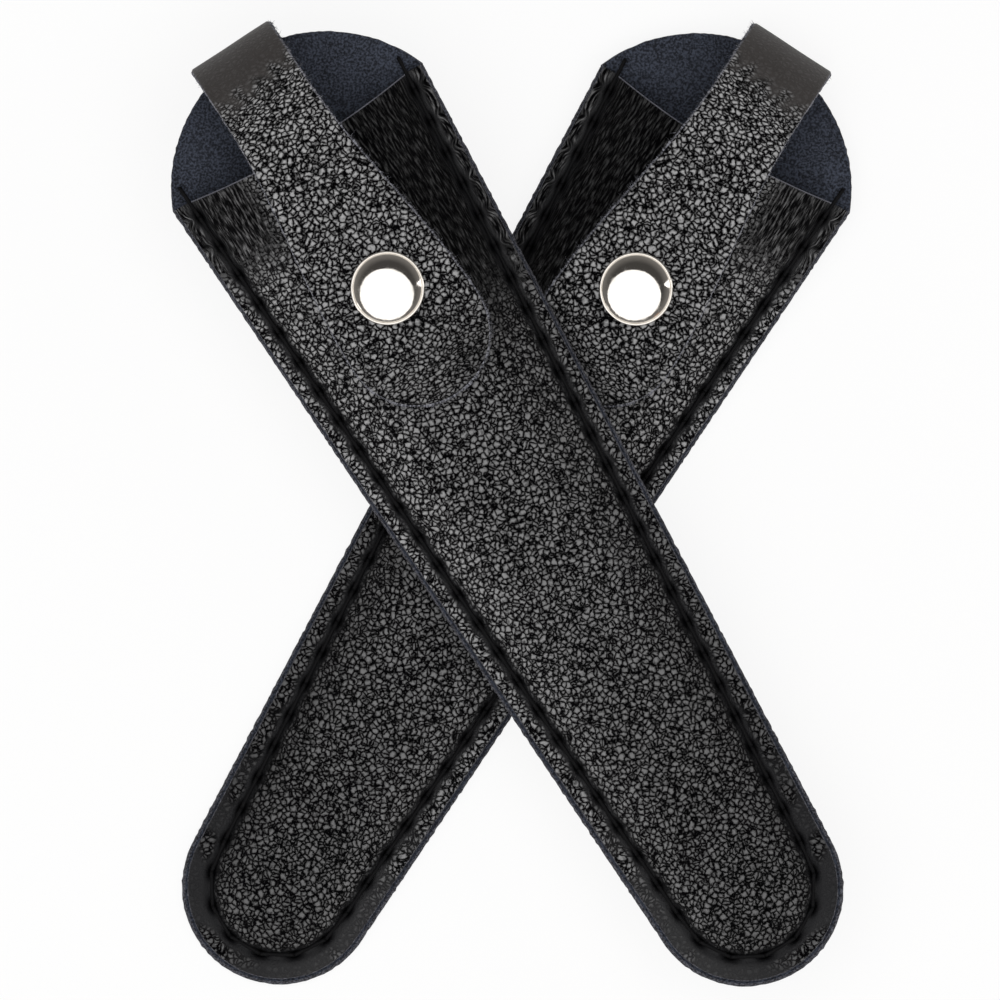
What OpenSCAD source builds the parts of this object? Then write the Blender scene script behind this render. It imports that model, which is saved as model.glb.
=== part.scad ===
// A crossed pair of tapered leather sheaths. Each is a back panel and a bulged front panel sewn
// together round the sides and the toe, and a strap that is riveted behind the mouth, folds over it
// and closes on the front with a ring-spring snap. The lower sheath lies on its back on the table,
// and the upper one, its mirror image, lies across it.
//
// A sheath is drawn in its own frame: X across, Y along with the top of the tongue at Y = 0 and the
// toe at negative Y, and Z = 0 on the surface that its back lies on.

/* [Sheath] */
// Length from the top of the tongue to the toe
sheath_len = 174; // [150:1:210]
// Width across the shoulders, at the mouth
mouth_w = 47.2; // [42:0.1:56]
// Height of the round tongue above the shoulders
tongue_h = 16; // [14.5:0.5:19]
// Radius of the round toe
toe_r = 16; // [14:0.5:19]
// Thickness of the panel leather
panel_t = 1.4; // [1.2:0.1:2]
// Room inside the pocket, in the middle of the mouth
pocket_gap = 6.4; // [5:0.1:8]
// How far the middle of the mouth's edge dips below the shoulders
mouth_dip = 1.8; // [0:0.1:3]
// How far the front panel stops short of the back one along the sides
front_inset_side = 0.4; // [0.2:0.1:1]
// How far the front panel stops short of the back one at the toe
front_inset_toe = 0.9; // [0.2:0.1:1.5]

/* [Seam] */
// Distance from the edge to the stitches at the mouth
margin_mouth = 3.1; // [2.6:0.1:4]
// Distance from the edge to the stitches at the toe
margin_toe = 4.6; // [3.5:0.1:6]
// Distance from one stitch hole to the next
stitch_pitch = 5.7; // [4:0.1:8]
// Diameter of the sewing thread
thread_d = 0.7; // [0.5:0.05:0.8]
// How far the seam starts above the shoulders
seam_start = 2.8; // [2:0.1:4]

/* [Strap] */
// Thickness of the strap leather
strap_t = 1.2; // [0.8:0.1:1.4]
// Width of the strap where it folds over the mouth
strap_w = 15.2; // [13:0.1:20]
// Radius of the strap's round tip
strap_tip_r = 12; // [10:0.5:14]
// Distance from the top of the tongue to the snap
snap_at = 44.6; // [40:0.1:52]
// Distance from the snap's centre to the strap's tip
strap_past_snap = 20.7; // [18:0.1:24]
// How far the fold stands out past the tongue
fold_out = 2.55; // [2.55:0.05:5]
// Height of the fold's crest above the table, at the middle of the leather
fold_h = 13.8; // [13.4:0.1:18]
// Angle at which the strap leans away from the sheath's middle
strap_lean = 2.2; // [0:0.1:5]
// Distance from the top of the tongue to the rivet
rivet_at = 10; // [8:0.5:11]

/* [Hardware] */
// Diameter of the snap's cap
cap_d = 12; // [11:0.5:15]
// Height of the snap's cap above the strap
cap_h = 2.1; // [1.6:0.1:3]
// Diameter of the snap's stud and socket flanges
flange_d = 10; // [9:0.5:10.5]
// Diameter of the stud's head
stud_head_d = 4.4; // [3.6:0.1:5]
// Diameter of the rivet's heads
rivet_head_d = 7; // [6:0.5:8]
// Height of the rivet's heads
rivet_head_h = 0.8; // [0.6:0.1:1]
// Diameter of the rivet's post
rivet_post_d = 3; // [2.5:0.1:3.5]

/* [Pair] */
// Angle that each sheath leans from the upright
cross_angle = 30.8; // [25:0.1:40]
// Distance from the top of the tongue to the point where the sheaths cross
cross_at = 84; // [75:0.5:95]
// Room between the lower sheath's strap and the back of the upper sheath
stack_gap = 0.3; // [0.3:0.05:1]

/* [Hidden] */

$fn = 48;
over = 1;                 // how far a cutter runs past what it cuts
layer_gap = 0.1;          // room between the two panels along the seam
leather_color = "#232325";
suede_color = "#2b2f3b";
thread_color = "#111112";
nickel_color = "#d9d6d2";

// --- Outline of the panels -------------------------------------------------------------------

shoulder_x = mouth_w / 2;
toe_c = sheath_len - toe_r;                        // distance from the top to the toe's centre
tongue_r = (pow(shoulder_x, 2) + pow(tongue_h, 2)) / (2 * tongue_h);

// Angle from the upright of the line from [x, -tongue_h] that touches a toe circle of radius r
function taper(x, r) =
    atan(x / (toe_c - tongue_h)) - asin(r / norm([x, toe_c - tongue_h]));
// Half width at a distance d from the top, of an outline with half width x at the shoulders
function half_width(d, x, r) = x - (d - tongue_h) * tan(taper(x, r));

// A panel's outline below the shoulders: straight sides that run into a round toe
module body_outline(x, r, top) {
    a = taper(x, r);
    touch = [r * cos(a), -toe_c - r * sin(a)];
    head = [half_width(top, x, r), -top];
    polygon([[-head[0], head[1]], [-touch[0], touch[1]], touch, head]);
    translate([0, -toe_c]) circle(r);
}

module back_outline() {
    body_outline(shoulder_x, toe_r, tongue_h);
    intersection() {
        translate([0, -tongue_r]) circle(tongue_r);
        translate([-mouth_w, -tongue_h]) square([2 * mouth_w, tongue_h + over]);
    }
}

// --- How the sheath lies: flat on its back, and lifted at the mouth by the strap and rivet -----

anchor_z = rivet_head_h + strap_t / 2;             // middle of the strap leather behind the tongue
lift_h = rivet_head_h + strap_t;
lift_past_mouth = 1.5;                             // how far past the shoulders it stays at the full lift
lift_past_snap = 13.4;                             // how far past the snap it comes down to the table
lift_top = tongue_h + lift_past_mouth;
lift_end = snap_at + lift_past_snap;
lift_steps = 10;

function smooth(t) = let (u = min(1, max(0, t))) u * u * (3 - 2 * u);
function lift(d) = lift_h * smooth((lift_end - d) / (lift_end - lift_top));
lift_stations = [
    -over, lift_top,
    for (i = [1 : lift_steps]) lift_top + (lift_end - lift_top) * i / lift_steps,
    sheath_len + over
];

// A layer between two heights above the sheath's underside, over the whole length
module layer(low, high) {
    side = [
        for (d = lift_stations) [-d, lift(d) + low],
        for (i = [len(lift_stations) - 1 : -1 : 0])
            [-lift_stations[i], lift(lift_stations[i]) + high]
    ];
    translate([-mouth_w, 0, 0]) rotate([90, 0, 90]) linear_extrude(2 * mouth_w) polygon(side);
}

// --- Seam line: holes at even steps down one side, round the toe and up the other --------------

seam_x = shoulder_x - margin_mouth;
seam_toe_r = toe_r - margin_toe;
seam_a = taper(seam_x, seam_toe_r);
seam_top = tongue_h - seam_start;
seam_side = (toe_c + seam_toe_r * sin(seam_a) - seam_top) / cos(seam_a);
seam_arc = (180 - 2 * seam_a) * PI / 180 * seam_toe_r;
stitches = round((2 * seam_side + seam_arc) / stitch_pitch);
seam_step = (2 * seam_side + seam_arc) / stitches;

// Point on the seam at a distance s from its start at the left of the mouth, and off outside the line
function seam_point(s, off = 0) =
    s > seam_side + seam_arc / 2
        ? let (p = seam_point(2 * seam_side + seam_arc - s, off)) [-p[0], p[1]]
        : s <= seam_side
            ? [
                s * sin(seam_a) - half_width(seam_top, seam_x, seam_toe_r) - off * cos(seam_a),
                -seam_top - s * cos(seam_a) - off * sin(seam_a)
            ]
            : let (turn = 180 + seam_a + (s - seam_side) / seam_toe_r * 180 / PI, r = seam_toe_r + off)
                [r * cos(turn), r * sin(turn) - toe_c];

hole_r = thread_d * 0.95;                          // a diamond awl's hole, from middle to corner
groove_w = thread_d + 0.2;
groove_depth = thread_d + 0.1;
furrow_depth = 0.4;                                // how deep the front seam is pulled in
thread_clear = 0.05;

module stitch_holes(first, last) {
    for (i = [first : last]) {
        p = seam_point(i * seam_step);
        translate([p[0], p[1], -over]) cylinder(r = hole_r, h = lift_h + 3 * panel_t + 2 * over, $fn = 4);
    }
}

// --- Panels --------------------------------------------------------------------------------

// The stitching groove in the back panel, which keeps the lower thread off the table
module seam_groove() {
    steps = [0 : stitches];
    intersection() {
        linear_extrude(lift_h + groove_depth + over) polygon([
            for (i = steps) seam_point(i * seam_step, groove_w / 2),
            for (i = [stitches : -1 : 0]) seam_point(i * seam_step, -groove_w / 2)
        ]);
        layer(-over, groove_depth);
    }
}

module back_panel() {
    color(suede_color) difference() {
        intersection() {
            linear_extrude(lift_h + panel_t + over) back_outline();
            layer(0, panel_t);
        }
        seam_groove();
        stitch_holes(0, stitches);
        translate(rivet_place) cylinder(d = rivet_hole_d, h = lift_h + panel_t + over);
    }
}

front_base = panel_t + layer_gap;                  // underside of the front panel along the seam
furrow_w = groove_w + 0.3;
swell_start = 1.05;                                // the front starts to swell this far inside the seam
side_steps = 24;
toe_steps = 14;
swell_levels = [0.3, 0.55, 0.75, 0.9];

// Room in the pocket at a distance d from the top, in the middle and at a share t of the half width
function room(d) =
    pocket_gap * pow(half_width(min(d, toe_c), seam_x, seam_toe_r) / half_width(tongue_h, seam_x, seam_toe_r), 1.3);
function swell(d, t) = t >= 1 ? 0 : room(d) * (1 - pow(t, 2.6));

// A ray runs from the middle line out to the panel's edge:
// [distance of its start from the top, direction in degrees, distance to the seam, to the edge]
front_edge_x = shoulder_x - front_inset_side;
front_toe_r = toe_r - front_inset_toe;
function side_ray(i, turn) =
    let (d = tongue_h + (toe_c - tongue_h) * i / side_steps)
    [d, turn, half_width(d, seam_x, seam_toe_r), half_width(d, front_edge_x, front_toe_r)];
rays = [
    for (i = [0 : side_steps]) side_ray(i, 180),
    for (i = [1 : toe_steps - 1]) [toe_c, 180 + 180 * i / toe_steps, seam_toe_r, front_toe_r],
    for (i = [side_steps : -1 : 0]) side_ray(i, 0)
];

// Reach and height of each point on a ray, from the middle line to the edge
function ray_levels(ray) =
    let (seam = ray[2], swell_edge = seam - swell_start)
    [
        for (t = swell_levels) [t * swell_edge, swell(ray[0], t)],
        [swell_edge, 0],
        [seam - furrow_w / 2, -furrow_depth],
        [seam + furrow_w / 2, -furrow_depth],
        [seam + swell_start, 0],
        [ray[3], 0]
    ];
levels = len(swell_levels) + 5;

// The mouth's edge dips in the middle, and the dip fades out down the panel
dip_fade = 24;
function dip(d, x) =
    mouth_dip * max(0, 1 - (d - tongue_h) / dip_fade) * max(0, 1 - pow(x / seam_x, 2));
function sheet_point(ray, reach, rise) =
    let (x = reach * cos(ray[1]), y = reach * sin(ray[1]) - ray[0], d = dip(ray[0], x) - y)
    [x, -d, lift(d) + front_base + rise];

module front_sheet() {
    n = len(rays);
    mid = side_steps + 1;
    side_count = mid + n * levels;
    upper = [
        for (i = [0 : side_steps]) sheet_point(rays[i], 0, swell(rays[i][0], 0) + panel_t),
        for (ray = rays, p = ray_levels(ray)) sheet_point(ray, p[0], p[1] + panel_t)
    ];
    under = [
        for (i = [0 : side_steps]) sheet_point(rays[i], 0, swell(rays[i][0], 0)),
        for (ray = rays, p = ray_levels(ray)) sheet_point(ray, p[0], max(0, p[1]))
    ];
    // The middle point that a ray starts from, and the ray's own points
    function middle(q) = min(q, n - 1 - q, side_steps);
    function at(q, l) = l == 0 ? middle(q) : mid + q * levels + l - 1;
    function split(f) = [[f[0], f[1], f[2]], [f[0], f[2], f[3]]];
    top_faces = [
        for (q = [0 : n - 2], l = [0 : levels - 1])
            if (l == 0 && middle(q) == middle(q + 1))
                each [[at(q, 0), at(q, 1), at(q + 1, 1)]]
            else
                each split([at(q, l), at(q, l + 1), at(q + 1, l + 1), at(q + 1, l)])
    ];
    rim = [
        for (q = [0 : n - 2]) [at(q, levels), at(q + 1, levels)],
        for (l = [levels : -1 : 1]) [at(n - 1, l), at(n - 1, l - 1)],
        for (l = [0 : levels - 1]) [at(0, l), at(0, l + 1)]
    ];
    under_faces = [for (f = top_faces) [f[0] + side_count, f[2] + side_count, f[1] + side_count]];
    rim_faces = [
        for (e = rim) each split([e[0], e[0] + side_count, e[1] + side_count, e[1]])
    ];
    faces = concat(top_faces, under_faces, rim_faces);
    polyhedron(points = concat(upper, under), faces = [for (f = faces) [f[0], f[2], f[1]]], convexity = 6);
}

// The leather is pressed flat and level where the snap's stud clamps it
pad_top = lift(snap_at) + front_base + swell(snap_at, 0) + panel_t;
pad_r = flange_d / 2 + 1.4;
pad_lap = 0.4;
eyelet_hole_d = 2.8;

module front_panel() {
    color(leather_color) difference() {
        union() {
            difference() {
                front_sheet();
                translate([0, -snap_at, pad_top - 3 * panel_t]) cylinder(r = pad_r, h = 6 * panel_t);
            }
            translate([0, -snap_at, pad_top - panel_t]) cylinder(r = pad_r + pad_lap, h = panel_t);
        }
        stitch_holes(1, stitches - 1);
        translate([0, -snap_at, 0]) cylinder(d = eyelet_hole_d, h = pad_top + over);
    }
}

// --- Thread --------------------------------------------------------------------------------

thread_r = thread_d / 2;
leg_r = thread_r - 0.03;
tuck = 0.12;                                       // a bar ends this far short of the hole's middle
needle_z = front_base + panel_t - furrow_depth + thread_r + thread_clear;
bobbin_z = thread_r + thread_clear;
hole_stop = front_base - layer_gap / 2;            // the upper and lower threads meet between the panels

// A straight piece of thread between two points
module thread_bar(a, b) {
    v = b - a;
    translate(a) rotate([0, acos(v[2] / norm(v)), atan2(v[1], v[0])]) cylinder(r = thread_r, h = norm(v));
}

// The thread inside a hole, from a height above the underside to the middle of the bar or just past it
module thread_leg(p, leg_end, bar) {
    from = min(leg_end, bar - thread_r * 0.8);
    to = max(leg_end, bar + thread_r * 0.8);
    translate([p[0], p[1], lift(-p[1]) + (leg_end < bar ? leg_end : from)])
        cylinder(r = leg_r, h = leg_end < bar ? to - leg_end : leg_end - from);
}

// Thread along the holes from first to last: a bar from each to the next, and a leg in each
module thread_line(first, last, bar, leg_end) {
    for (i = [first : last - 1]) {
        a = seam_point(i * seam_step);
        b = seam_point((i + 1) * seam_step);
        along = (b - a) / norm(b - a) * tuck;
        p = a + along;
        q = b - along;
        thread_bar([p[0], p[1], lift(-p[1]) + bar], [q[0], q[1], lift(-q[1]) + bar]);
    }
    for (i = [first : last]) thread_leg(seam_point(i * seam_step), leg_end, bar);
}

// The stitch that reaches over the front panel's top corner, from a hole in the back panel alone
module mouth_stitch() {
    a = seam_point(0);
    b = seam_point(seam_step);
    along = (b - a) / norm(b - a);
    q = b - along * tuck;
    edge = b - along * (-b[1] - tongue_h + thread_r + thread_clear) / cos(seam_a);
    low = panel_t + thread_r + thread_clear;
    rest = front_base + panel_t + thread_r + thread_clear;
    thread_leg(a, hole_stop - thread_r, low);
    thread_bar([a[0], a[1], lift(-a[1]) + low], [edge[0], edge[1], lift(-edge[1]) + rest]);
    thread_bar([edge[0], edge[1], lift(-edge[1]) + rest], [q[0], q[1], lift(-q[1]) + needle_z]);
}

// The thread on the front
module needle_thread() {
    color(thread_color) {
        thread_line(1, stitches - 1, needle_z, hole_stop + thread_r + thread_clear);
        mouth_stitch();
        mirror([1, 0, 0]) mouth_stitch();
    }
}

// The thread in the groove on the back
module bobbin_thread() {
    color(thread_color) thread_line(0, stitches, bobbin_z, hole_stop - thread_r - thread_clear);
}

// --- Strap: anchor behind the tongue, fold over the mouth, flap down the front -----------------

strap_hole_d = 2.8;
snap_gap = 3.3;                                    // from the front panel's face to the strap's underside
strap_tip = snap_at + strap_past_snap;
flap_z = pad_top + snap_gap + strap_t / 2;         // middle of the leather at the snap
tip_clear = 0.9;                                   // room under the strap's tip
tip_z = lift(strap_tip) + front_base + room(strap_tip) + panel_t + tip_clear + strap_t / 2;

// The fold is a small arc that turns up past the tongue and a large one that turns over the mouth
fold_low_r = 1.8;                                  // at the middle of the leather, as is the next
fold_low_y = fold_out - strap_t / 2 - fold_low_r;
fold_high_r = fold_h - anchor_z - fold_low_r;
fold_high_c = [fold_low_y + fold_low_r - fold_high_r, anchor_z + fold_low_r];
flap_top = -fold_high_c[0];                        // distance from the tongue's top to the fold's crest
anchor_past_rivet = 2;                             // leather past the rivet's head, at the strap's end
anchor_end = rivet_at + rivet_head_d / 2 + anchor_past_rivet;
flap_flat = cap_d / 2 + 1;                         // the strap is level this far from the snap's centre

// The strap leans about the snap, so its top stands to one side of the sheath's middle
module leaning() {
    translate([0, -snap_at, 0]) rotate([0, 0, strap_lean]) translate([0, snap_at, 0]) children();
}
rivet_place = [(rivet_at - snap_at) * sin(strap_lean), (snap_at - rivet_at) * cos(strap_lean) - snap_at, 0];

strap_steps = 12;
tip_c = strap_tip - strap_tip_r;
function strap_half(d) = strap_w / 2 + (strap_tip_r - strap_w / 2) * smooth((d - flap_top) / (tip_c - flap_top));

module flap_outline() {
    ds = [for (i = [0 : strap_steps]) flap_top + (tip_c - flap_top) * i / strap_steps];
    polygon([
        for (d = ds) [-strap_half(d), -d],
        for (i = [strap_steps : -1 : 0]) [strap_half(ds[i]), -ds[i]]
    ]);
    translate([0, -tip_c]) circle(strap_tip_r);
}

// Height of the middle of the strap's leather along the flap
function flap_mid(d) =
    d < snap_at - flap_flat
        ? fold_h + (flap_z - fold_h) * smooth((d - flap_top) / (snap_at - flap_flat - flap_top))
        : d < snap_at + flap_flat
            ? flap_z
            : flap_z + (tip_z - flap_z) * pow((d - snap_at - flap_flat) / (strap_tip - snap_at - flap_flat), 1.25);

module strap_flap() {
    slope_steps = 8;
    ds = [
        for (i = [0 : slope_steps - 1])
            flap_top + (snap_at - flap_flat - flap_top) * i / slope_steps,
        snap_at - flap_flat,
        for (i = [0 : slope_steps])
            snap_at + flap_flat + (strap_tip - snap_at - flap_flat) * i / slope_steps,
        strap_tip + over
    ];
    side = [
        for (d = ds) [-d, flap_mid(d) - strap_t / 2],
        for (i = [len(ds) - 1 : -1 : 0]) [-ds[i], flap_mid(ds[i]) + strap_t / 2]
    ];
    color(leather_color) leaning() difference() {
        intersection() {
            linear_extrude(fold_h + flap_z) flap_outline();
            translate([-mouth_w, 0, 0]) rotate([90, 0, 90]) linear_extrude(2 * mouth_w) polygon(side);
        }
        translate([0, -snap_at, 0]) cylinder(d = strap_hole_d, h = fold_h + flap_z);
    }
}

// A quarter of a ring of leather about [y, z], from the start angle on
module fold_arc(centre, r, start) {
    translate([strap_w / 2, centre[0], centre[1]]) rotate([90, 0, -90])
        rotate([0, 0, start]) linear_extrude(strap_w) intersection() {
            difference() {
                circle(r + strap_t / 2);
                circle(r - strap_t / 2);
            }
            square(2 * r);
        }
}

module strap_fold() {
    color(leather_color) leaning() {
        fold_arc([fold_low_y, anchor_z + fold_low_r], fold_low_r, 180);
        fold_arc(fold_high_c, fold_high_r, 90);
    }
}

module strap_anchor() {
    color(leather_color) leaning() translate([0, 0, anchor_z - strap_t / 2]) difference() {
        linear_extrude(strap_t) {
            translate([-strap_w / 2, -rivet_at]) square([strap_w, rivet_at + fold_low_y]);
            intersection() {
                translate([0, strap_w / 2 - anchor_end]) circle(strap_w / 2);
                translate([-strap_w, -anchor_end - over]) square([2 * strap_w, anchor_end - rivet_at + 2 * over]);
            }
        }
        translate([0, -rivet_at, -over]) cylinder(d = rivet_hole_d, h = strap_t + 2 * over);
    }
}

// --- Rivet behind the tongue ------------------------------------------------------------------

rivet_clear = 0.05;
rivet_hole_d = rivet_post_d + 2 * rivet_clear;
tube_wall = 0.45;
head_rim = 0.35;                                   // thickness of a head at its rim

// A low domed head: a flat disc with a crown of the given height
module domed_head(d, h, rim) {
    crown = h - rim;
    ball = (pow(d / 2, 2) + pow(crown, 2)) / (2 * crown);
    cylinder(d = d, h = rim);
    intersection() {
        translate([0, 0, h - ball]) sphere(ball, $fn = 96);
        translate([0, 0, rim]) cylinder(d = d, h = crown + over);
    }
}

// The head under the strap, with the tube that the post is driven into
module rivet_cap() {
    color(nickel_color) translate(rivet_place) {
        translate([0, 0, rivet_head_h]) mirror([0, 0, 1]) domed_head(rivet_head_d, rivet_head_h, head_rim);
        difference() {
            translate([0, 0, rivet_head_h]) cylinder(d = rivet_post_d, h = strap_t + panel_t);
            translate([0, 0, rivet_head_h + head_rim])
                cylinder(d = rivet_post_d - 2 * tube_wall, h = strap_t + panel_t);
        }
    }
}

// The head on the suede side of the tongue, with the post inside the cap's tube
module rivet_post() {
    color(nickel_color) translate([rivet_place[0], rivet_place[1], lift_h + panel_t]) {
        domed_head(rivet_head_d, rivet_head_h, head_rim);
        translate([0, 0, 2 * head_rim - strap_t - panel_t])
            cylinder(d = rivet_post_d - 2 * tube_wall - 2 * rivet_clear, h = strap_t + panel_t - head_rim);
    }
}

// --- Snap: eyelet and stud clamp the front panel, cap and socket clamp the strap ---------------

flange_t = 0.5;
neck_d = stud_head_d - 0.6;
stud_h = 2.2;
head_h = 0.9;
bore_d = 2.6;
flare_t = 0.15;
snap_clear = 0.1;
socket_room = 0.2;                                 // round the stud's head, so that it pulls off freely
spring_wire = 0.5;
socket_wall = 0.7;

module at_snap(z) {
    translate([0, -snap_at, z]) children();
}

// The stud that stands on the front panel: a flange, a neck and a rounded head, bored through
module snap_stud() {
    color(nickel_color) at_snap(pad_top) rotate_extrude() difference() {
        union() {
            translate([bore_d / 2, 0]) square([flange_d / 2 - bore_d / 2, flange_t]);
            translate([bore_d / 2, 0]) square([neck_d / 2 - bore_d / 2, stud_h - head_h / 2]);
            translate([bore_d / 2, stud_h - head_h]) square([stud_head_d / 2 - head_h / 2 - bore_d / 2, head_h]);
            translate([stud_head_d / 2 - head_h / 2, stud_h - head_h / 2]) circle(head_h / 2);
        }
        translate([0, -over]) square([bore_d / 2, stud_h + 2 * over]);
    }
}

// The eyelet inside the pocket, whose tube comes up through the panel and is flared over the stud
module snap_eyelet() {
    tube_d = bore_d - 2 * rivet_clear;
    under = pad_top - panel_t;
    color(nickel_color) at_snap(under) rotate_extrude() {
        translate([tube_d / 2 - tube_wall, -flange_t])
            square([flange_d / 2 - 0.5 - tube_d / 2 + tube_wall, flange_t]);
        translate([tube_d / 2 - tube_wall, -flange_t])
            square([tube_wall, flange_t + panel_t + stud_h + flare_t]);
        translate([tube_d / 2 - tube_wall, panel_t + stud_h]) square([2 * tube_wall, flare_t]);
    }
}

socket_top = pad_top + snap_gap;
socket_bore = stud_head_d + 2 * socket_room;
spring_z = stud_h - head_h - spring_wire / 2;      // the ring closes on the neck just under the head

// The socket under the strap: a flange and a skirt round the stud's head, with a groove for the ring
module snap_socket() {
    skirt = snap_gap - flange_t - flange_t - snap_clear;
    color(nickel_color) at_snap(socket_top) rotate_extrude() difference() {
        union() {
            translate([post_d / 2 + rivet_clear, -flange_t])
                square([flange_d / 2 - post_d / 2 - rivet_clear, flange_t]);
            translate([socket_bore / 2, -flange_t - skirt])
                square([socket_wall + spring_wire, skirt]);
        }
        translate([0, spring_z - snap_gap - snap_clear / 2 - spring_wire / 2])
            square([socket_bore / 2 + spring_wire + snap_clear, spring_wire + snap_clear]);
    }
}

// The split ring in the socket's groove that grips the stud
module snap_spring() {
    color("silver") at_snap(pad_top + spring_z)
        rotate([0, 0, 30]) rotate_extrude(angle = 300)
            translate([socket_bore / 2 + spring_wire / 2 - snap_clear / 2, 0]) circle(d = spring_wire, $fn = 24);
}

post_d = 2.7;
post_flare = 0.2;

// The domed cap on the strap, with the post that is flared under the socket
module snap_cap() {
    post = strap_t + flange_t + post_flare;
    color(nickel_color) at_snap(socket_top + strap_t) {
        domed_head(cap_d, cap_h, cap_h * 0.3);
        translate([0, 0, -post]) cylinder(d = post_d, h = post);
        translate([0, 0, -post]) cylinder(d = post_d + 0.7, h = post_flare);
    }
}

// --- The pair ------------------------------------------------------------------------------

// The highest point of the lower sheath's strap that lies under the upper sheath's back
strap_under = snap_at + flap_flat;
stack_z = flap_mid(strap_under) + strap_t / 2 + stack_gap;

// The pair is centred on its box: from the fold's upper corner to the foot of the toe
fold_corner = [strap_w / 2 - snap_at * sin(strap_lean), fold_out];
pair_top = (cross_at + fold_corner[1]) * cos(cross_angle) + fold_corner[0] * sin(cross_angle);
pair_foot = (cross_at - toe_c) * cos(cross_angle) - toe_r;
pair_y = -(pair_top + pair_foot) / 2;

module crossed() {
    translate([0, pair_y, 0]) rotate([0, 0, cross_angle]) translate([0, cross_at, 0]) children();
}
module lower() {
    mirror([1, 0, 0]) crossed() children();
}
module upper() {
    translate([0, 0, stack_z]) crossed() children();
}

lower() back_panel();  // lower_back_panel
lower() front_panel();  // lower_front_panel
lower() needle_thread();  // lower_needle_thread
lower() bobbin_thread();  // lower_bobbin_thread
lower() strap_anchor();  // lower_strap_anchor
lower() strap_fold();  // lower_strap_fold
lower() strap_flap();  // lower_strap_flap
lower() rivet_cap();  // lower_rivet_cap
lower() rivet_post();  // lower_rivet_post
lower() snap_cap();  // lower_snap_cap
lower() snap_socket();  // lower_snap_socket
lower() snap_spring();  // lower_snap_spring
lower() snap_stud();  // lower_snap_stud
lower() snap_eyelet();  // lower_snap_eyelet
upper() back_panel();  // upper_back_panel
upper() front_panel();  // upper_front_panel
upper() needle_thread();  // upper_needle_thread
upper() bobbin_thread();  // upper_bobbin_thread
upper() strap_anchor();  // upper_strap_anchor
upper() strap_fold();  // upper_strap_fold
upper() strap_flap();  // upper_strap_flap
upper() rivet_cap();  // upper_rivet_cap
upper() rivet_post();  // upper_rivet_post
upper() snap_cap();  // upper_snap_cap
upper() snap_socket();  // upper_snap_socket
upper() snap_spring();  // upper_snap_spring
upper() snap_stud();  // upper_snap_stud
upper() snap_eyelet();  // upper_snap_eyelet
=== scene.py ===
"""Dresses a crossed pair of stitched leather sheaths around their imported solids.

Every shape is worked out in a sheath's own frame, in millimetres: x across, y along with the top of
the tongue at 0 and the toe at negative y, and z up from the surface that the back lies on. A Berth then
turns, mirrors and lifts it to its place in the row frame, in metres.
"""

import logging
import math
from dataclasses import dataclass, field
from enum import Enum
from functools import partial
from typing import Callable, Sequence

import bpy
import numpy as np
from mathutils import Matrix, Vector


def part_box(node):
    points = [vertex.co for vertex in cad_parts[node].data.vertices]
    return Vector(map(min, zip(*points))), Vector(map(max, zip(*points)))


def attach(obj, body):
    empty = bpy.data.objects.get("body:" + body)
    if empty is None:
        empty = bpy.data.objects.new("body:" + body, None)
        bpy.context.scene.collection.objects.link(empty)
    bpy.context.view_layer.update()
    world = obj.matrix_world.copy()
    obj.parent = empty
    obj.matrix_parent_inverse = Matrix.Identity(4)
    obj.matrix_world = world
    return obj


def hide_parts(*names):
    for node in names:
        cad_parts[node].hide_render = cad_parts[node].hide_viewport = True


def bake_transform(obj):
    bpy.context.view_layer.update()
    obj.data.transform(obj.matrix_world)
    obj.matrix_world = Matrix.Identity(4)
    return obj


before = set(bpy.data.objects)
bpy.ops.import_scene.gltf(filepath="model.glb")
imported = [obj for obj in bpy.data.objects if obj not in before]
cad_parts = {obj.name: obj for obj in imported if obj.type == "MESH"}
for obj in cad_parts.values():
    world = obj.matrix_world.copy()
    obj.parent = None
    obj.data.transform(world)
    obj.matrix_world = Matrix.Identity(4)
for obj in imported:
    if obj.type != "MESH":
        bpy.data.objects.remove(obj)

MM = 0.001
log = logging.getLogger("sheaths")

Array = np.ndarray
Adder = Callable[..., bpy.types.NodeSocket]


# --- Small numeric helpers ------------------------------------------------------------------------


def smooth(t: Array | float) -> Array | float:
    """Smoothstep 3t^2 - 2t^3 of t held between 0 and 1."""
    u = np.clip(t, 0.0, 1.0)
    return u * u * (3 - 2 * u)


def bell(x: Array, width: float, power: float = 2.0) -> Array:
    """exp(-|x / width|^power): 1 at x = 0, and small past x = width."""
    return np.exp(-np.abs(x / width) ** power)


def ripple(x: Array, y: Array, wavelength: float, seed: int) -> Array:
    """Soft irregular waves: the mean of 14 sine waves of random direction, phase and length.

    Args:
        x: First coordinate of the points.
        y: Second coordinate of the points.
        wavelength: Middle length of the waves, in the points' units.
        seed: Seed of the random draws.

    Returns:
        A height for each point, mostly between -1 and 1.
    """
    draw = np.random.default_rng(seed)
    count = 14
    turn = draw.uniform(0, 2 * math.pi, count)
    phase = draw.uniform(0, 2 * math.pi, count)
    pace = 2 * math.pi / (wavelength * draw.uniform(0.6, 1.6, count))
    wave = np.zeros(np.broadcast(x, y).shape)
    for k in range(count):
        wave += np.sin((x * math.cos(turn[k]) + y * math.sin(turn[k])) * pace[k] + phase[k])
    return wave / math.sqrt(count) * 1.2


# --- Meshes ---------------------------------------------------------------------------------------


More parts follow.
